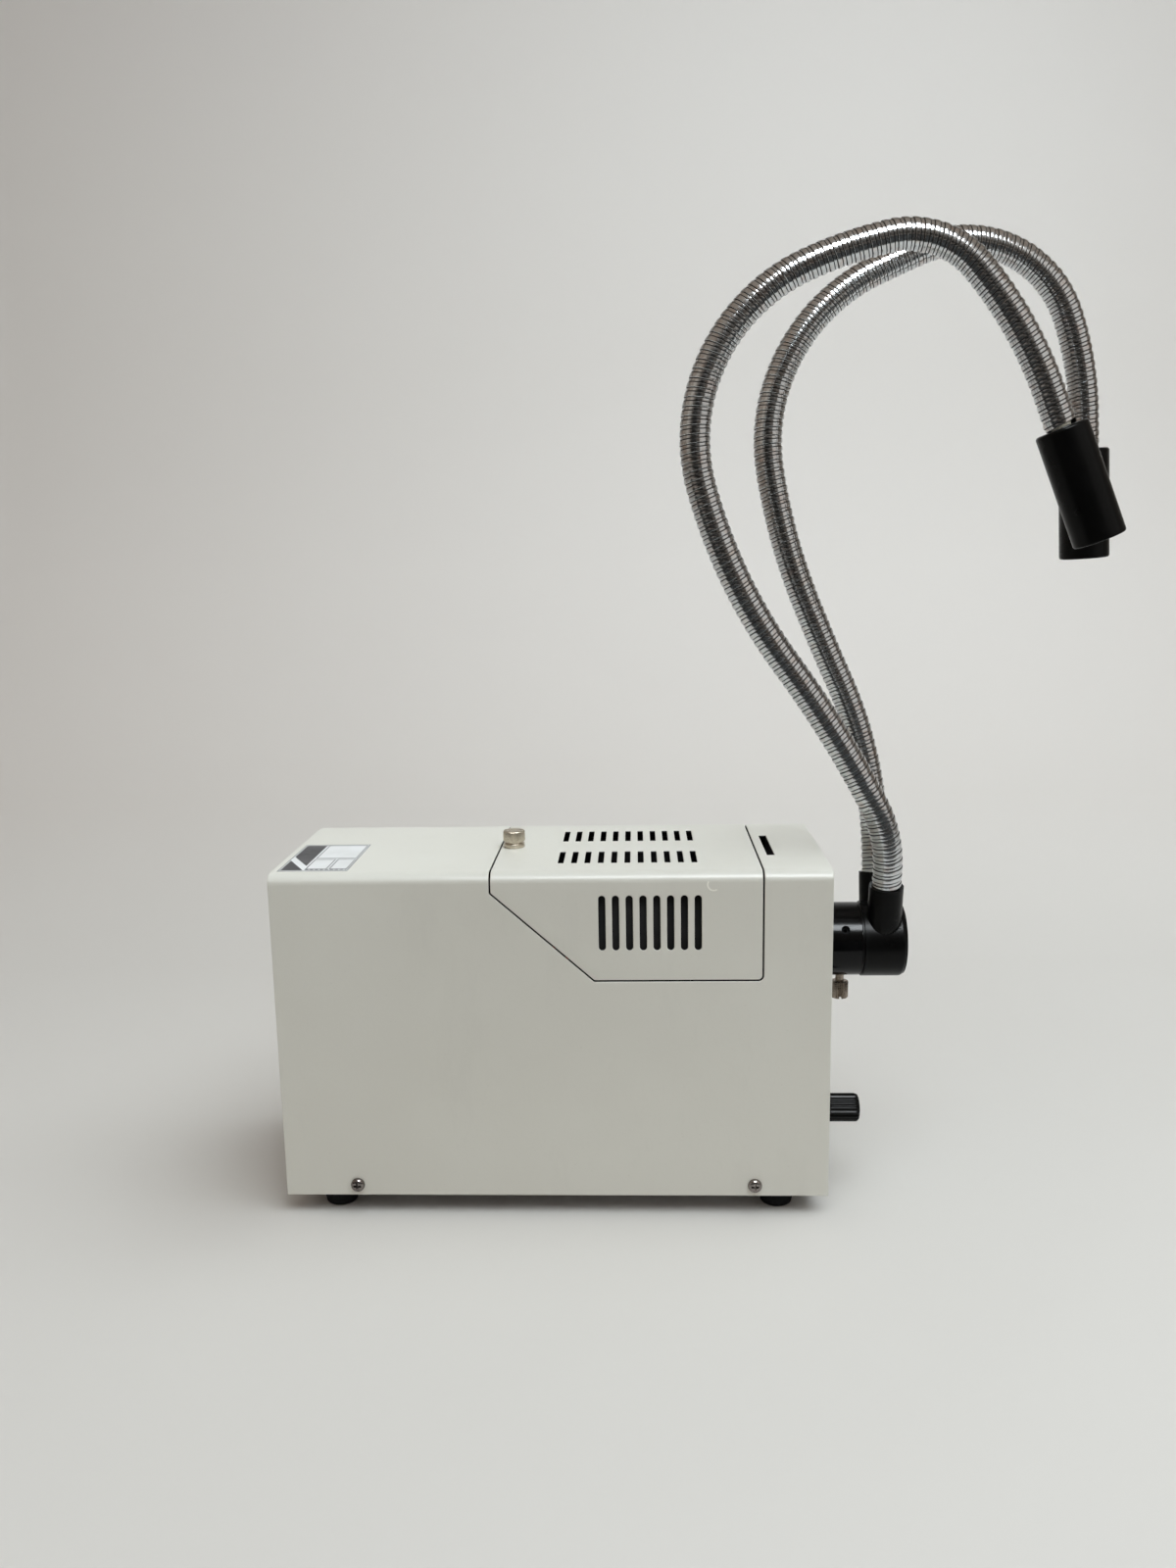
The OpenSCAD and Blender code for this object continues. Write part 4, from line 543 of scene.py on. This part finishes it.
def arm_frame(side, s):
    """Points, ways along and two ways across, at lengths along an arm's middle line, in mm."""
    s = np.asarray(s, float)
    bends = BENDS[side]
    x, z, heading = BOSS_AT, RIM_Z, 0.0
    px, pz, ph = np.zeros_like(s), np.zeros_like(s), np.zeros_like(s)
    done = 0.0
    for i, (length, turn) in enumerate(bends):
        low = -1e9 if i == 0 else done
        high = 1e9 if i == len(bends) - 1 else done + length
        mask = (s > low) & (s <= high)
        for far, into in ((s[mask] - done, mask), (np.array([length]), None)):
            to = heading + turn * far / length
            if abs(turn) < 1e-9:
                nx = x + far * math.sin(math.radians(heading))
                nz = z + far * math.cos(math.radians(heading))
            else:
                r = length / math.radians(turn)
                nx = x + r * (math.cos(math.radians(heading)) - np.cos(np.radians(to)))
                nz = z + r * (np.sin(np.radians(to)) - math.sin(math.radians(heading)))
            if into is not None:
                px[into], pz[into], ph[into] = nx, nz, to
        x, z, heading = float(nx[0]), float(nz[0]), float(to[0])
        done += length
    run = LEAN_TO - LEAN_FROM
    part = np.clip((s - LEAN_FROM) / run, 0, 1)
    lean = BOSS_LEAN + (ARM_LEAN - BOSS_LEAN) * part
    start = LEAN_FROM * math.tan(math.radians(BOSS_LEAN))
    spread = np.where(
        s <= LEAN_FROM, s * math.tan(math.radians(BOSS_LEAN)),
        start + (np.clip(s, LEAN_FROM, LEAN_TO) - LEAN_FROM) * np.tan(np.radians((BOSS_LEAN + lean) / 2))
        + np.clip(s - LEAN_TO, 0, None) * math.tan(math.radians(ARM_LEAN)))
    p = np.stack([px, side * (RIM_Y + spread), pz], -1)
    h, l = np.radians(ph), np.radians(lean)
    t = np.stack([np.sin(h) * np.cos(l), side * np.sin(l), np.cos(h) * np.cos(l)], -1)
    u = np.array([0, 1.0, 0]) - t * t[:, 1:2]
    u /= np.linalg.norm(u, axis=1, keepdims=True)
    return p, t, u, np.cross(t, u)


def arm_point(side, s):
    """Point on an arm's middle line at a length along it in mm, in metres."""
    return Vector(arm_frame(side, [s])[0][0]) * MM


PITCH = 3.7               # mm from one turn of the strip to the next
TURN = 40                 # steps in one turn
# One turn of the strip: how far along the pitch, and the radius there; the narrow band lies lower
STRIP = [(0.00, 6.42), (0.05, 6.58), (0.27, 6.63), (0.48, 6.57), (0.52, 6.36), (0.56, 6.10), (0.61, 6.26), (0.76, 6.30),
         (0.90, 6.25), (0.945, 5.90)]
SHADED_ROWS = {3, 4, 5, 8}   # its rows painted dark as shade: the grooves and the shoulders that lead into them
BUNDLE_R, BUNDLE_SIDES, BUNDLE_STEP = 4.0, 20, 5
FLEX_IN, BOSS_FLEX = 6, 2.0    # mm at each end of a flexible piece, and at the boss, where a point on its middle line is found


def hose_piece(name, side, s0, s1):
    """Stripwound hose wound as one spiral from s0 to s1 along the arm, with the bundle inside it."""
    a0, a1 = round(s0 / PITCH * TURN), round(s1 / PITCH * TURN)
    count = a1 - a0
    rows = len(STRIP)
    a = np.arange(a0, a1 + 1)
    along = np.array([u for u, r in STRIP])
    radius = np.array([r for u, r in STRIP])
    s = (a[:, None] / TURN + along[None, :] - 0.5) * PITCH
    angle = 2 * np.pi * a / TURN
    p, t, u, v = arm_frame(side, s.ravel())
    ring = np.repeat(angle, rows)[:, None]
    r = np.tile(radius, len(a))[:, None]
    points = p + r * (np.cos(ring) * u + np.sin(ring) * v)
    faces, index = [], []
    for i in range(count):
        for j in range(rows - 1):
            at = i * rows + j
            faces.append((at, at + rows, at + rows + 1, at + 1))
            index.append(1 if j in SHADED_ROWS else 0)
        if i + TURN <= count:
            # The seam to the next turn, which begins one whole turn later, painted dark as shade
            at, to = i * rows + rows - 1, (i + TURN) * rows
            if i + 1 + TURN <= count:
                faces.append((at, at + rows, to + rows, to))
                index.append(1)
    base = len(points)
    steps = max(2, round((s1 - s0) / BUNDLE_STEP))
    sides = BUNDLE_SIDES
    p, t, u, v = arm_frame(side, np.linspace(s0, s1, steps + 1))
    core = [p[i] + BUNDLE_R * (math.cos(b) * u[i] + math.sin(b) * v[i])
            for i in range(steps + 1) for b in (2 * math.pi * k / sides for k in range(sides))]
    for i in range(steps):
        for k in range(sides):
            n = (k + 1) % sides
            faces.append((base + i * sides + k, base + i * sides + n, base + (i + 1) * sides + n,
                          base + (i + 1) * sides + k))
            index.append(2)
    points = np.concatenate([points, np.array(core)]) * MM
    return add_piece(name, points, faces, ["hose_chrome", "hose_groove_shade", "fibre"], index)


for side, arm in ((-1, "near"), (1, "far")):
    bodies = ["guide_head", arm + "_lower_arm", arm + "_upper_arm", arm + "_tip"]
    parts = ["base_flex", "lower_hose", "arch_flex", "upper_hose", "tip_flex"]
    cuts = [-HOSE_IN, *MARKS, NEAR_L if side < 0 else FAR_L]
    for i, part in enumerate(parts):
        node = arm + "_" + part
        piece = hose_piece(arm + "_wound_" + part, side, cuts[i], cuts[i + 1])
        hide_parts(node)
        if i % 2:
            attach(piece, bodies[(i + 1) // 2])
        else:
            low = BOSS_FLEX if i == 0 else cuts[i] + FLEX_IN
            arm_point(side, low)
            arm_point(side, cuts[i + 1] - FLEX_IN)
            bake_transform(piece)

# ---------- dark sheets behind the cover's slots, as painted shade ---


def shade_sheet(name, side):
    """Black folded plate that stands behind a skirt's slots, its two flanges against the skirt; it puts painted shade
    in the slots.
    """
    skirt, off, thick = 48.0, 3.0, 0.8
    x0, x1, z0, z1 = 15.0, 72.0, 121.0, 151.5
    low_lip, high_lip, fold = 3.0, 0.6, 1.2
    path = [(skirt, z0 - low_lip), (skirt, z0), (skirt - off, z0 + fold), (skirt - off, z1 - fold), (skirt, z1),
            (skirt, z1 + high_lip)]
    inner = [(y - thick, z) for y, z in path]
    ring = path + inner[::-1]
    points = [Vector((x, side * y, z)) * MM for x in (x0, x1) for y, z in ring]
    n, half = len(ring), len(path)
    faces = [(i, (i + 1) % n, n + (i + 1) % n, n + i) for i in range(n)]
    for base in (0, n):
        faces += [(base + i, base + i + 1, base + n - 2 - i, base + n - 1 - i) for i in range(half - 1)]
    item = add_piece(name, points, faces, ["slot_shade_steel"])
    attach(item, "cover")


shade_sheet("near_slot_shade_sheet", -1)
shade_sheet("far_slot_shade_sheet", 1)

# ---------- screws and knob ----------


def driver_slot(d, h):
    """A bar that cuts a driver's slot across a head."""
    wide, deep = 1.2, 2.6
    mesh = bpy.data.meshes.new("cutter")
    box = bmesh.new()
    bmesh.ops.create_cube(box, size=1)
    bmesh.ops.scale(box, vec=Vector((2 * d, wide, deep)) * MM, verts=box.verts)
    bmesh.ops.translate(box, vec=Vector((0, 0, h)) * MM, verts=box.verts)
    box.to_mesh(mesh)
    box.free()
    return mesh


def thumbscrew(name, size, place, shank, look, collared=True):
    """Knurled head with a driver slot and, where asked for, a collar, on its shank, which runs back from the seat."""
    d, h = size
    r = d / 2
    profile = [(-shank, 0.0), (-shank, 1.55), (-shank + 0.5, 1.95), (0.0, 1.95)]
    if collared:
        collar, groove = h * 0.25, h * 0.34
        profile += [(0.0, r * 0.90), (0.12, r * 0.94), (0.3, r * 0.96), (collar - 0.25, r * 0.96),
                    (collar - 0.08, r * 0.94), (collar, r * 0.74), (groove, r * 0.74), (groove + 0.10, r * 0.93),
                    (groove + 0.35, r * 0.985), (groove + 0.6, r), (h - 0.75, r), (h - 0.4, r * 0.97),
                    (h - 0.12, r * 0.90)]
        cut, count = {13: 0.28, 14: 0.28, 12: 0.22, 15: 0.16, 11: 0.06}, 160
    else:
        profile += [(0.0, r * 0.82), (0.15, r * 0.93), (0.45, r), (h - 0.5, r), (h - 0.2, r * 0.95)]
        cut, count = {5: 0.2, 6: 0.55, 7: 0.55, 8: 0.3}, 96
    profile += [(h, r * (0.82 if collared else 0.84)), (h, r * 0.5), (h - 0.02, 0.0)]

    def teeth(i, k, radius):
        """Knurling four steps apart, as deep as the profile's point says."""
        return radius - cut.get(i, 0) * (0.5 + 0.5 * math.cos(2 * math.pi * k / 4))

    points, faces = lathe(profile, count, place_of((0, 0, 0), (0, 0, 1)), teeth)
    item = add_piece(name, [p * MM for p in points], faces, [look], None, 40)
    return cut_and_place(item, [driver_slot(d, h)], place)


def cut_and_place(item, cutters, place):
    """Cuts a head's slot or recess, then stands the screw on its place, which is a point and a way."""
    tools = []
    for cutter in cutters:
        tool = bpy.data.objects.new("tool", cutter)
        scene.collection.objects.link(tool)
        tools.append(tool)
        modifier = item.modifiers.new("slot", "BOOLEAN")
        modifier.object = tool
        modifier.operation = "DIFFERENCE"
        modifier.solver = "EXACT"
    bpy.context.view_layer.update()
    graph = bpy.context.evaluated_depsgraph_get()
    mesh = bpy.data.meshes.new_from_object(item.evaluated_get(graph))
    item.modifiers.clear()
    item.data = mesh
    for tool in tools:
        bpy.data.objects.remove(tool)
    origin, way = place
    turn = Vector((0, 0, 1)).rotation_difference(Vector(way)).to_matrix().to_4x4()
    mesh.transform(Matrix.Translation(Vector(origin) * MM) @ turn)
    mesh.set_sharp_from_angle(angle=math.radians(38))
    return item


COVER_SCREW, COVER_SEAT, COVER_SHANK = (10.2, 8.0), (-19.1, 0, 159.0), 9
CLAMP_SCREW = (8.2, 8.3)
screw = thumbscrew("knurled_cover_screw", COVER_SCREW, (COVER_SEAT, (0, 0, 1)), COVER_SHANK, "nickel")
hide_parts("cover_screw")
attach(screw, "cover_screw")
low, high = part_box("guide_clamp_screw")
seat = low.z / MM + CLAMP_SCREW[1]
screw = thumbscrew("knurled_clamp_screw", CLAMP_SCREW, (((low.x + high.x) / 2 / MM, 0, seat), (0, 0, -1)),
                   high.z / MM - seat, "worn_nickel", False)
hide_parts("guide_clamp_screw")
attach(screw, "clamp_screw")


def islands(node):
    """Boxes of a CAD node's separate solids, in mm."""
    work = bmesh.new()
    work.from_mesh(nodes[node].data)
    bmesh.ops.remove_doubles(work, verts=work.verts, dist=SAME_POINT)
    left, boxes = set(work.verts), []
    while left:
        todo = [left.pop()]
        held = []
        while todo:
            vert = todo.pop()
            held.append(vert.co.copy())
            for edge in vert.link_edges:
                other = edge.other_vert(vert)
                if other in left:
                    left.remove(other)
                    todo.append(other)
        low = Vector(min(c[i] for c in held) for i in range(3)) / MM
        high = Vector(max(c[i] for c in held) for i in range(3)) / MM
        boxes.append((low, high))
    work.free()
    return sorted(boxes, key=lambda box: tuple(box[0]))


def cross_screw(name, place, d, h, shank):
    """Domed head with a cross recess, its seat at a place and its shank behind it."""
    r, s, length = d / 2, shank[0] / 2, shank[1]
    profile = [(-length, 0.0), (-length, s - 0.4), (-length + 0.4, s), (0.0, s), (0.0, r * 0.95), (0.08, r * 0.985),
               (0.22, r), (h * 0.34, r), (h * 0.50, r * 0.97), (h * 0.70, r * 0.87), (h * 0.86, r * 0.70),
               (h * 0.96, r * 0.48), (h, r * 0.24), (h, 0.0)]
    points, faces = lathe(profile, 40, place_of((0, 0, 0), (0, 0, 1)))
    item = add_piece(name, [p * MM for p in points], faces, ["screw_steel"], None, 40)
    cutters = []
    for turn in (0, 1):
        bar = bmesh.new()
        bmesh.ops.create_cube(bar, size=1)
        for vert in bar.verts:
            deep = vert.co.z < 0
            vert.co.x *= d * (0.20 if deep else 0.66)
            vert.co.y *= d * (0.10 if deep else 0.17)
            vert.co.z = h * 0.22 if deep else h * 1.15
            if turn:
                vert.co.x, vert.co.y = -vert.co.y, vert.co.x
        bmesh.ops.scale(bar, vec=Vector((MM, MM, MM)), verts=bar.verts)
        cutter = bpy.data.meshes.new("cutter")
        bar.to_mesh(cutter)
        bar.free()
        cutters.append(cutter)
    return cut_and_place(item, cutters, place)


HEAD_SHARE = 0.36    # a head's height, as a part of its width


def cross_screws(node, way, shank_d, outward=False):
    """Replaces a CAD group of screws by ones with a recess, each where its solid is and facing a way or outward."""
    axis = max(range(3), key=lambda i: abs(way[i]))
    made = []
    for i, (low, high) in enumerate(islands(node)):
        middle = (low + high) / 2
        d = max(high[k] - low[k] for k in range(3) if k != axis)
        sign = math.copysign(1, middle[axis]) if outward else way[axis]
        h = d * HEAD_SHARE
        seat = middle.copy()
        seat[axis] = (high[axis] if sign > 0 else low[axis]) - sign * h
        turned = [0, 0, 0]
        turned[axis] = sign
        made.append(cross_screw(f"{node}_{i}", (seat, turned), d, h, (shank_d, high[axis] - low[axis] - h)))
        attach(made[-1], nodes[node]["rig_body"])
    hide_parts(node)


cross_screws("side_screws", (0, 1, 0), 3, True)
cross_screws("fan_screws", (-1, 0, 0), 4)
cross_screws("foot_screws", (0, 0, -1), 3)


def fluted_knob():
    """Brightness knob: round-bottomed flutes, a rolled front edge and a sunk cap with a pointer line."""
    low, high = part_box("knob")
    x0, length = low.x / MM, (high.x - low.x) / MM
    y, z = (low.y + high.y) / 2 / MM, (low.z + high.z) / 2 / MM
    r = (high.z - low.z) / 2 / MM
    flutes, each = 18, 10
    count = flutes * each
    profile = [(0.6, 3.1), (0.0, 3.3), (0.0, r - 0.5), (0.15, r - 0.15), (0.5, r), (length * 0.5, r), (length - 1.9, r),
               (length - 1.2, r - 0.12), (length - 0.6, r - 0.45), (length - 0.2, r - 0.95), (length, r - 1.6),
               (length - 0.02, r - 2.0), (length - 0.45, r - 2.2), (length - 0.5, 2.0), (length - 0.5, 0.0)]
    depth = [0, 0, .3, .55, .55, .55, .55, .52, .42, .25, .05, 0, 0, 0, 0]

    def teeth(i, k, radius):
        """Round-bottomed flutes, as deep as the profile's point says."""
        part = (k % each) / each
        groove = max(0.0, math.cos((part - 0.5) * math.pi * 1.5)) ** 0.8
        return radius - depth[i] * groove

    along_x = (Vector((x0, y, z)), Vector((0, 1, 0)), Vector((0, 0, 1)), Vector((1, 0, 0)))
    points, faces = lathe(profile, count, along_x, teeth)
    item = add_piece("fluted_knob", [p * MM for p in points], faces, ["black_gloss"], None, 50)
    cap, wide, thick = length - 0.5, 0.45, 0.12
    line = [(cap, -wide, 1.2), (cap, wide, 1.2), (cap, wide, r - 2.4), (cap, -wide, r - 2.4)]
    front = [(x + thick, a, b) for x, a, b in line]
    mark = add_piece("knob_pointer", [Vector((x0 + x, y + a, z + b)) * MM for x, a, b in line + front],
                     [(4, 5, 6, 7), (0, 1, 5, 4), (1, 2, 6, 5), (2, 3, 7, 6), (3, 0, 4, 7), (3, 2, 1, 0)], ["pointer"])
    return item, mark


knob, mark = fluted_knob()
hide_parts("knob")
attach(knob, "brightness_knob")
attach(mark, "brightness_knob")

# ---------- stage ----------

FLOOR_LOW, FLOOR_HIGH = (0.635, 0.605, 0.570), (0.655, 0.625, 0.590)
WALL = (0.93, 0.895, 0.86)
FAR_COLOUR = (0.93, 0.92, 0.89)    # pale colour that the camera sees far from the lamps
FAR_GLOW = 0.45                    # how much of it the far floor adds to what the lamps still give it
FAR_WORLD = 0.62                   # how much of it the room behind the floor shows
FAR_SIDE, FAR_FRONT = 0.95, -1.0   # x and y from which the floor starts to glow, in metres
FLOOR_HALF, FLOOR_FRONT = 5, -3.0  # half width and front edge of the floor
BEND_Y, BEND_R, WALL_TOP = 0.9, 0.6, 4.0
WORLD_LEVEL = 0.545


def background(name, low, high, wall):
    """Plain pale surface, a little lighter where it stands up behind the object, and kept pale far from the lamps."""
    m = Nodes(name)
    cloud = m.noise(0.8, 3, 0.5)
    tone = m.ramp(cloud, "Fac", [(0.3, low), (0.7, high)], True)
    split = m.xyz()
    m.link(m.mix((m.span(split, "Y", 0.3, 1.4, 0, 1), 0), (tone, 0), wall), 2, m.shader, "Base Color")
    m.rough(cloud, 0.6, 0.7)
    beside = m.math("SUBTRACT", (m.math("ABSOLUTE", (split, "X")), 0), FAR_SIDE)
    before = m.math("SUBTRACT", FAR_FRONT, (split, "Y"))
    far = m.span(m.math("MAXIMUM", (beside, 0), (before, 0)), "Value", 0.0, 2.0, 0, FAR_GLOW)
    seen = m.math("MULTIPLY", (far, 0), (m.add("ShaderNodeLightPath"), "Is Camera Ray"))
    m.link(seen, 0, m.shader, "Emission Strength")
    m.set(Emission_Color=(*FAR_COLOUR, 1))
    return m.material


def strip_of(name, rows, half, material):
    """Stage piece that runs from -half to half along X, over rows of (y, z)."""
    mesh = bpy.data.meshes.new(name)
    mesh.from_pydata([(x, y, z) for y, z in rows for x in (-half, half)], [],
                     [(2 * i, 2 * i + 1, 2 * i + 3, 2 * i + 2) for i in range(len(rows) - 1)])
    mesh.materials.append(material)
    item = bpy.data.objects.new(name, mesh)
    scene.collection.objects.link(item)
    return item


def make_stage():
    """Floor that curves up into a backdrop far behind the object."""
    bend = [(BEND_Y + BEND_R * math.sin(a), BEND_R - BEND_R * math.cos(a)) for a in np.radians(np.arange(10, 91, 10))]
    rows = [(FLOOR_FRONT, 0.0), (BEND_Y, 0.0), *bend, (BEND_Y + BEND_R, WALL_TOP)]
    floor = strip_of("floor", rows, FLOOR_HALF, background("floor", FLOOR_LOW, FLOOR_HIGH, WALL))
    floor.data.polygons.foreach_set("use_smooth", np.ones(len(rows) - 1, bool))


def make_card():
    """Dark card that leans below the camera's view. Only shiny things see it, as the dark edge of a bench."""
    m = Nodes("card")
    cloud = m.noise(3, 3, 0.5)
    m.link(m.ramp(cloud, "Fac", [(0.3, (0.02, 0.02, 0.02)), (0.7, (0.04, 0.04, 0.04))]), 0, m.shader, "Base Color")
    m.set(Roughness=0.8, Specular_IOR_Level=0.2)
    card = strip_of("card", [(-2.2, 0.002), (-0.52, 0.002), (-0.50, 0.18), (-0.262, 0.002)], 0.9, m.material)
    card.visible_camera = card.visible_diffuse = card.visible_shadow = False


def soft_light(name, place, aim, size, power, colour, sheen=True, spread=True):
    """Area lamp; without sheen it isn't mirrored in shiny surfaces, without spread it is only mirrored there."""
    data = bpy.data.lights.new(name, "AREA")
    data.shape = "RECTANGLE"
    data.size, data.size_y = size
    data.energy = power
    data.color = colour
    lamp = bpy.data.objects.new(name, data)
    lamp.location = place
    lamp.rotation_euler = (Vector(aim) - Vector(place)).to_track_quat("-Z", "Y").to_euler()
    scene.collection.objects.link(lamp)
    lamp.visible_glossy = sheen
    lamp.visible_diffuse = spread


# The room's level over a way from its far end, 0, to its near end, 1; the three are multiplied
ROOM = (((0, 0, 1), [(0.0, 0.30), (0.48, 0.44), (0.64, 0.60), (1.0, 0.55)], (1, 0.955, 0.90)),
        ((-0.22, -0.97, -0.05), [(0.0, 1.0), (0.80, 1.0), (0.94, 0.45), (0.985, 0.03)], (1, 0.955, 0.90)),
        ((0.88, -0.45, -0.10), [(0.0, 1.0), (0.68, 1.0), (0.95, 0.50)], (1, 0.93, 0.88)))


def make_world():
    """Pale room, brighter overhead, with a dim stretch behind the camera that gives metal its dark streaks."""
    world = bpy.data.worlds.new("world")
    scene.world = world
    world.use_nodes = True
    tree = world.node_tree
    add, link = tree.nodes.new, tree.links.new
    shade = tree.nodes["Background"]
    place = add("ShaderNodeTexCoord")
    last = None
    for way, stops, tint in ROOM:
        dot = add("ShaderNodeVectorMath")
        dot.operation = "DOT_PRODUCT"
        dot.inputs[1].default_value = Vector(way).normalized()
        link(place.outputs["Generated"], dot.inputs[0])
        span = add("ShaderNodeMapRange")
        span.inputs["From Min"].default_value = -1
        link(dot.outputs["Value"], span.inputs["Value"])
        ramp = add("ShaderNodeValToRGB")
        set_ramp(ramp.color_ramp, [(at, [level * part for part in tint]) for at, level in stops], True)
        link(span.outputs[0], ramp.inputs[0])
        if last is None:
            last = ramp.outputs[0]
            continue
        both = add("ShaderNodeMix")
        both.data_type = "RGBA"
        both.blend_type = "MULTIPLY"
        both.inputs[0].default_value = 1
        link(last, both.inputs[6])
        link(ramp.outputs[0], both.inputs[7])
        last = both.outputs[2]
    link(last, shade.inputs["Color"])
    shade.inputs["Strength"].default_value = WORLD_LEVEL
    # The camera itself sees a plain pale room
    pale = add("ShaderNodeBackground")
    pale.inputs["Color"].default_value = (*FAR_COLOUR, 1)
    pale.inputs["Strength"].default_value = FAR_WORLD
    either = add("ShaderNodeMixShader")
    link(add("ShaderNodeLightPath").outputs["Is Camera Ray"], either.inputs[0])
    link(shade.outputs[0], either.inputs[1])
    link(pale.outputs[0], either.inputs[2])
    link(either.outputs[0], tree.nodes["World Output"].inputs["Surface"])


make_stage()
make_card()
make_world()
# Place, point aimed at, size in metres, watts and colour
soft_light("key", (0.52, -0.28, 1.55), (0.10, 0.0, 0.15), (1.9, 1.3), 30.4, (0.88, 0.985, 1.045), sheen=False)
soft_light("strip", (0.30, -1.25, 1.65), (0.15, 0.0, 0.15), (1.0, 0.62), 52.0, (0.94, 0.99, 1.02), spread=False)
soft_light("fill", (-1.3, -1.0, 0.7), (0.0, 0.0, 0.2), (0.8, 1.0), 0.4, (1.0, 0.96, 0.90))
soft_light("side", (1.3, -0.8, 0.7), (0.15, 0.0, 0.15), (1.4, 1.2), 2.6, (1.0, 0.98, 0.95), spread=False)

scene.view_settings.view_transform = "Standard"
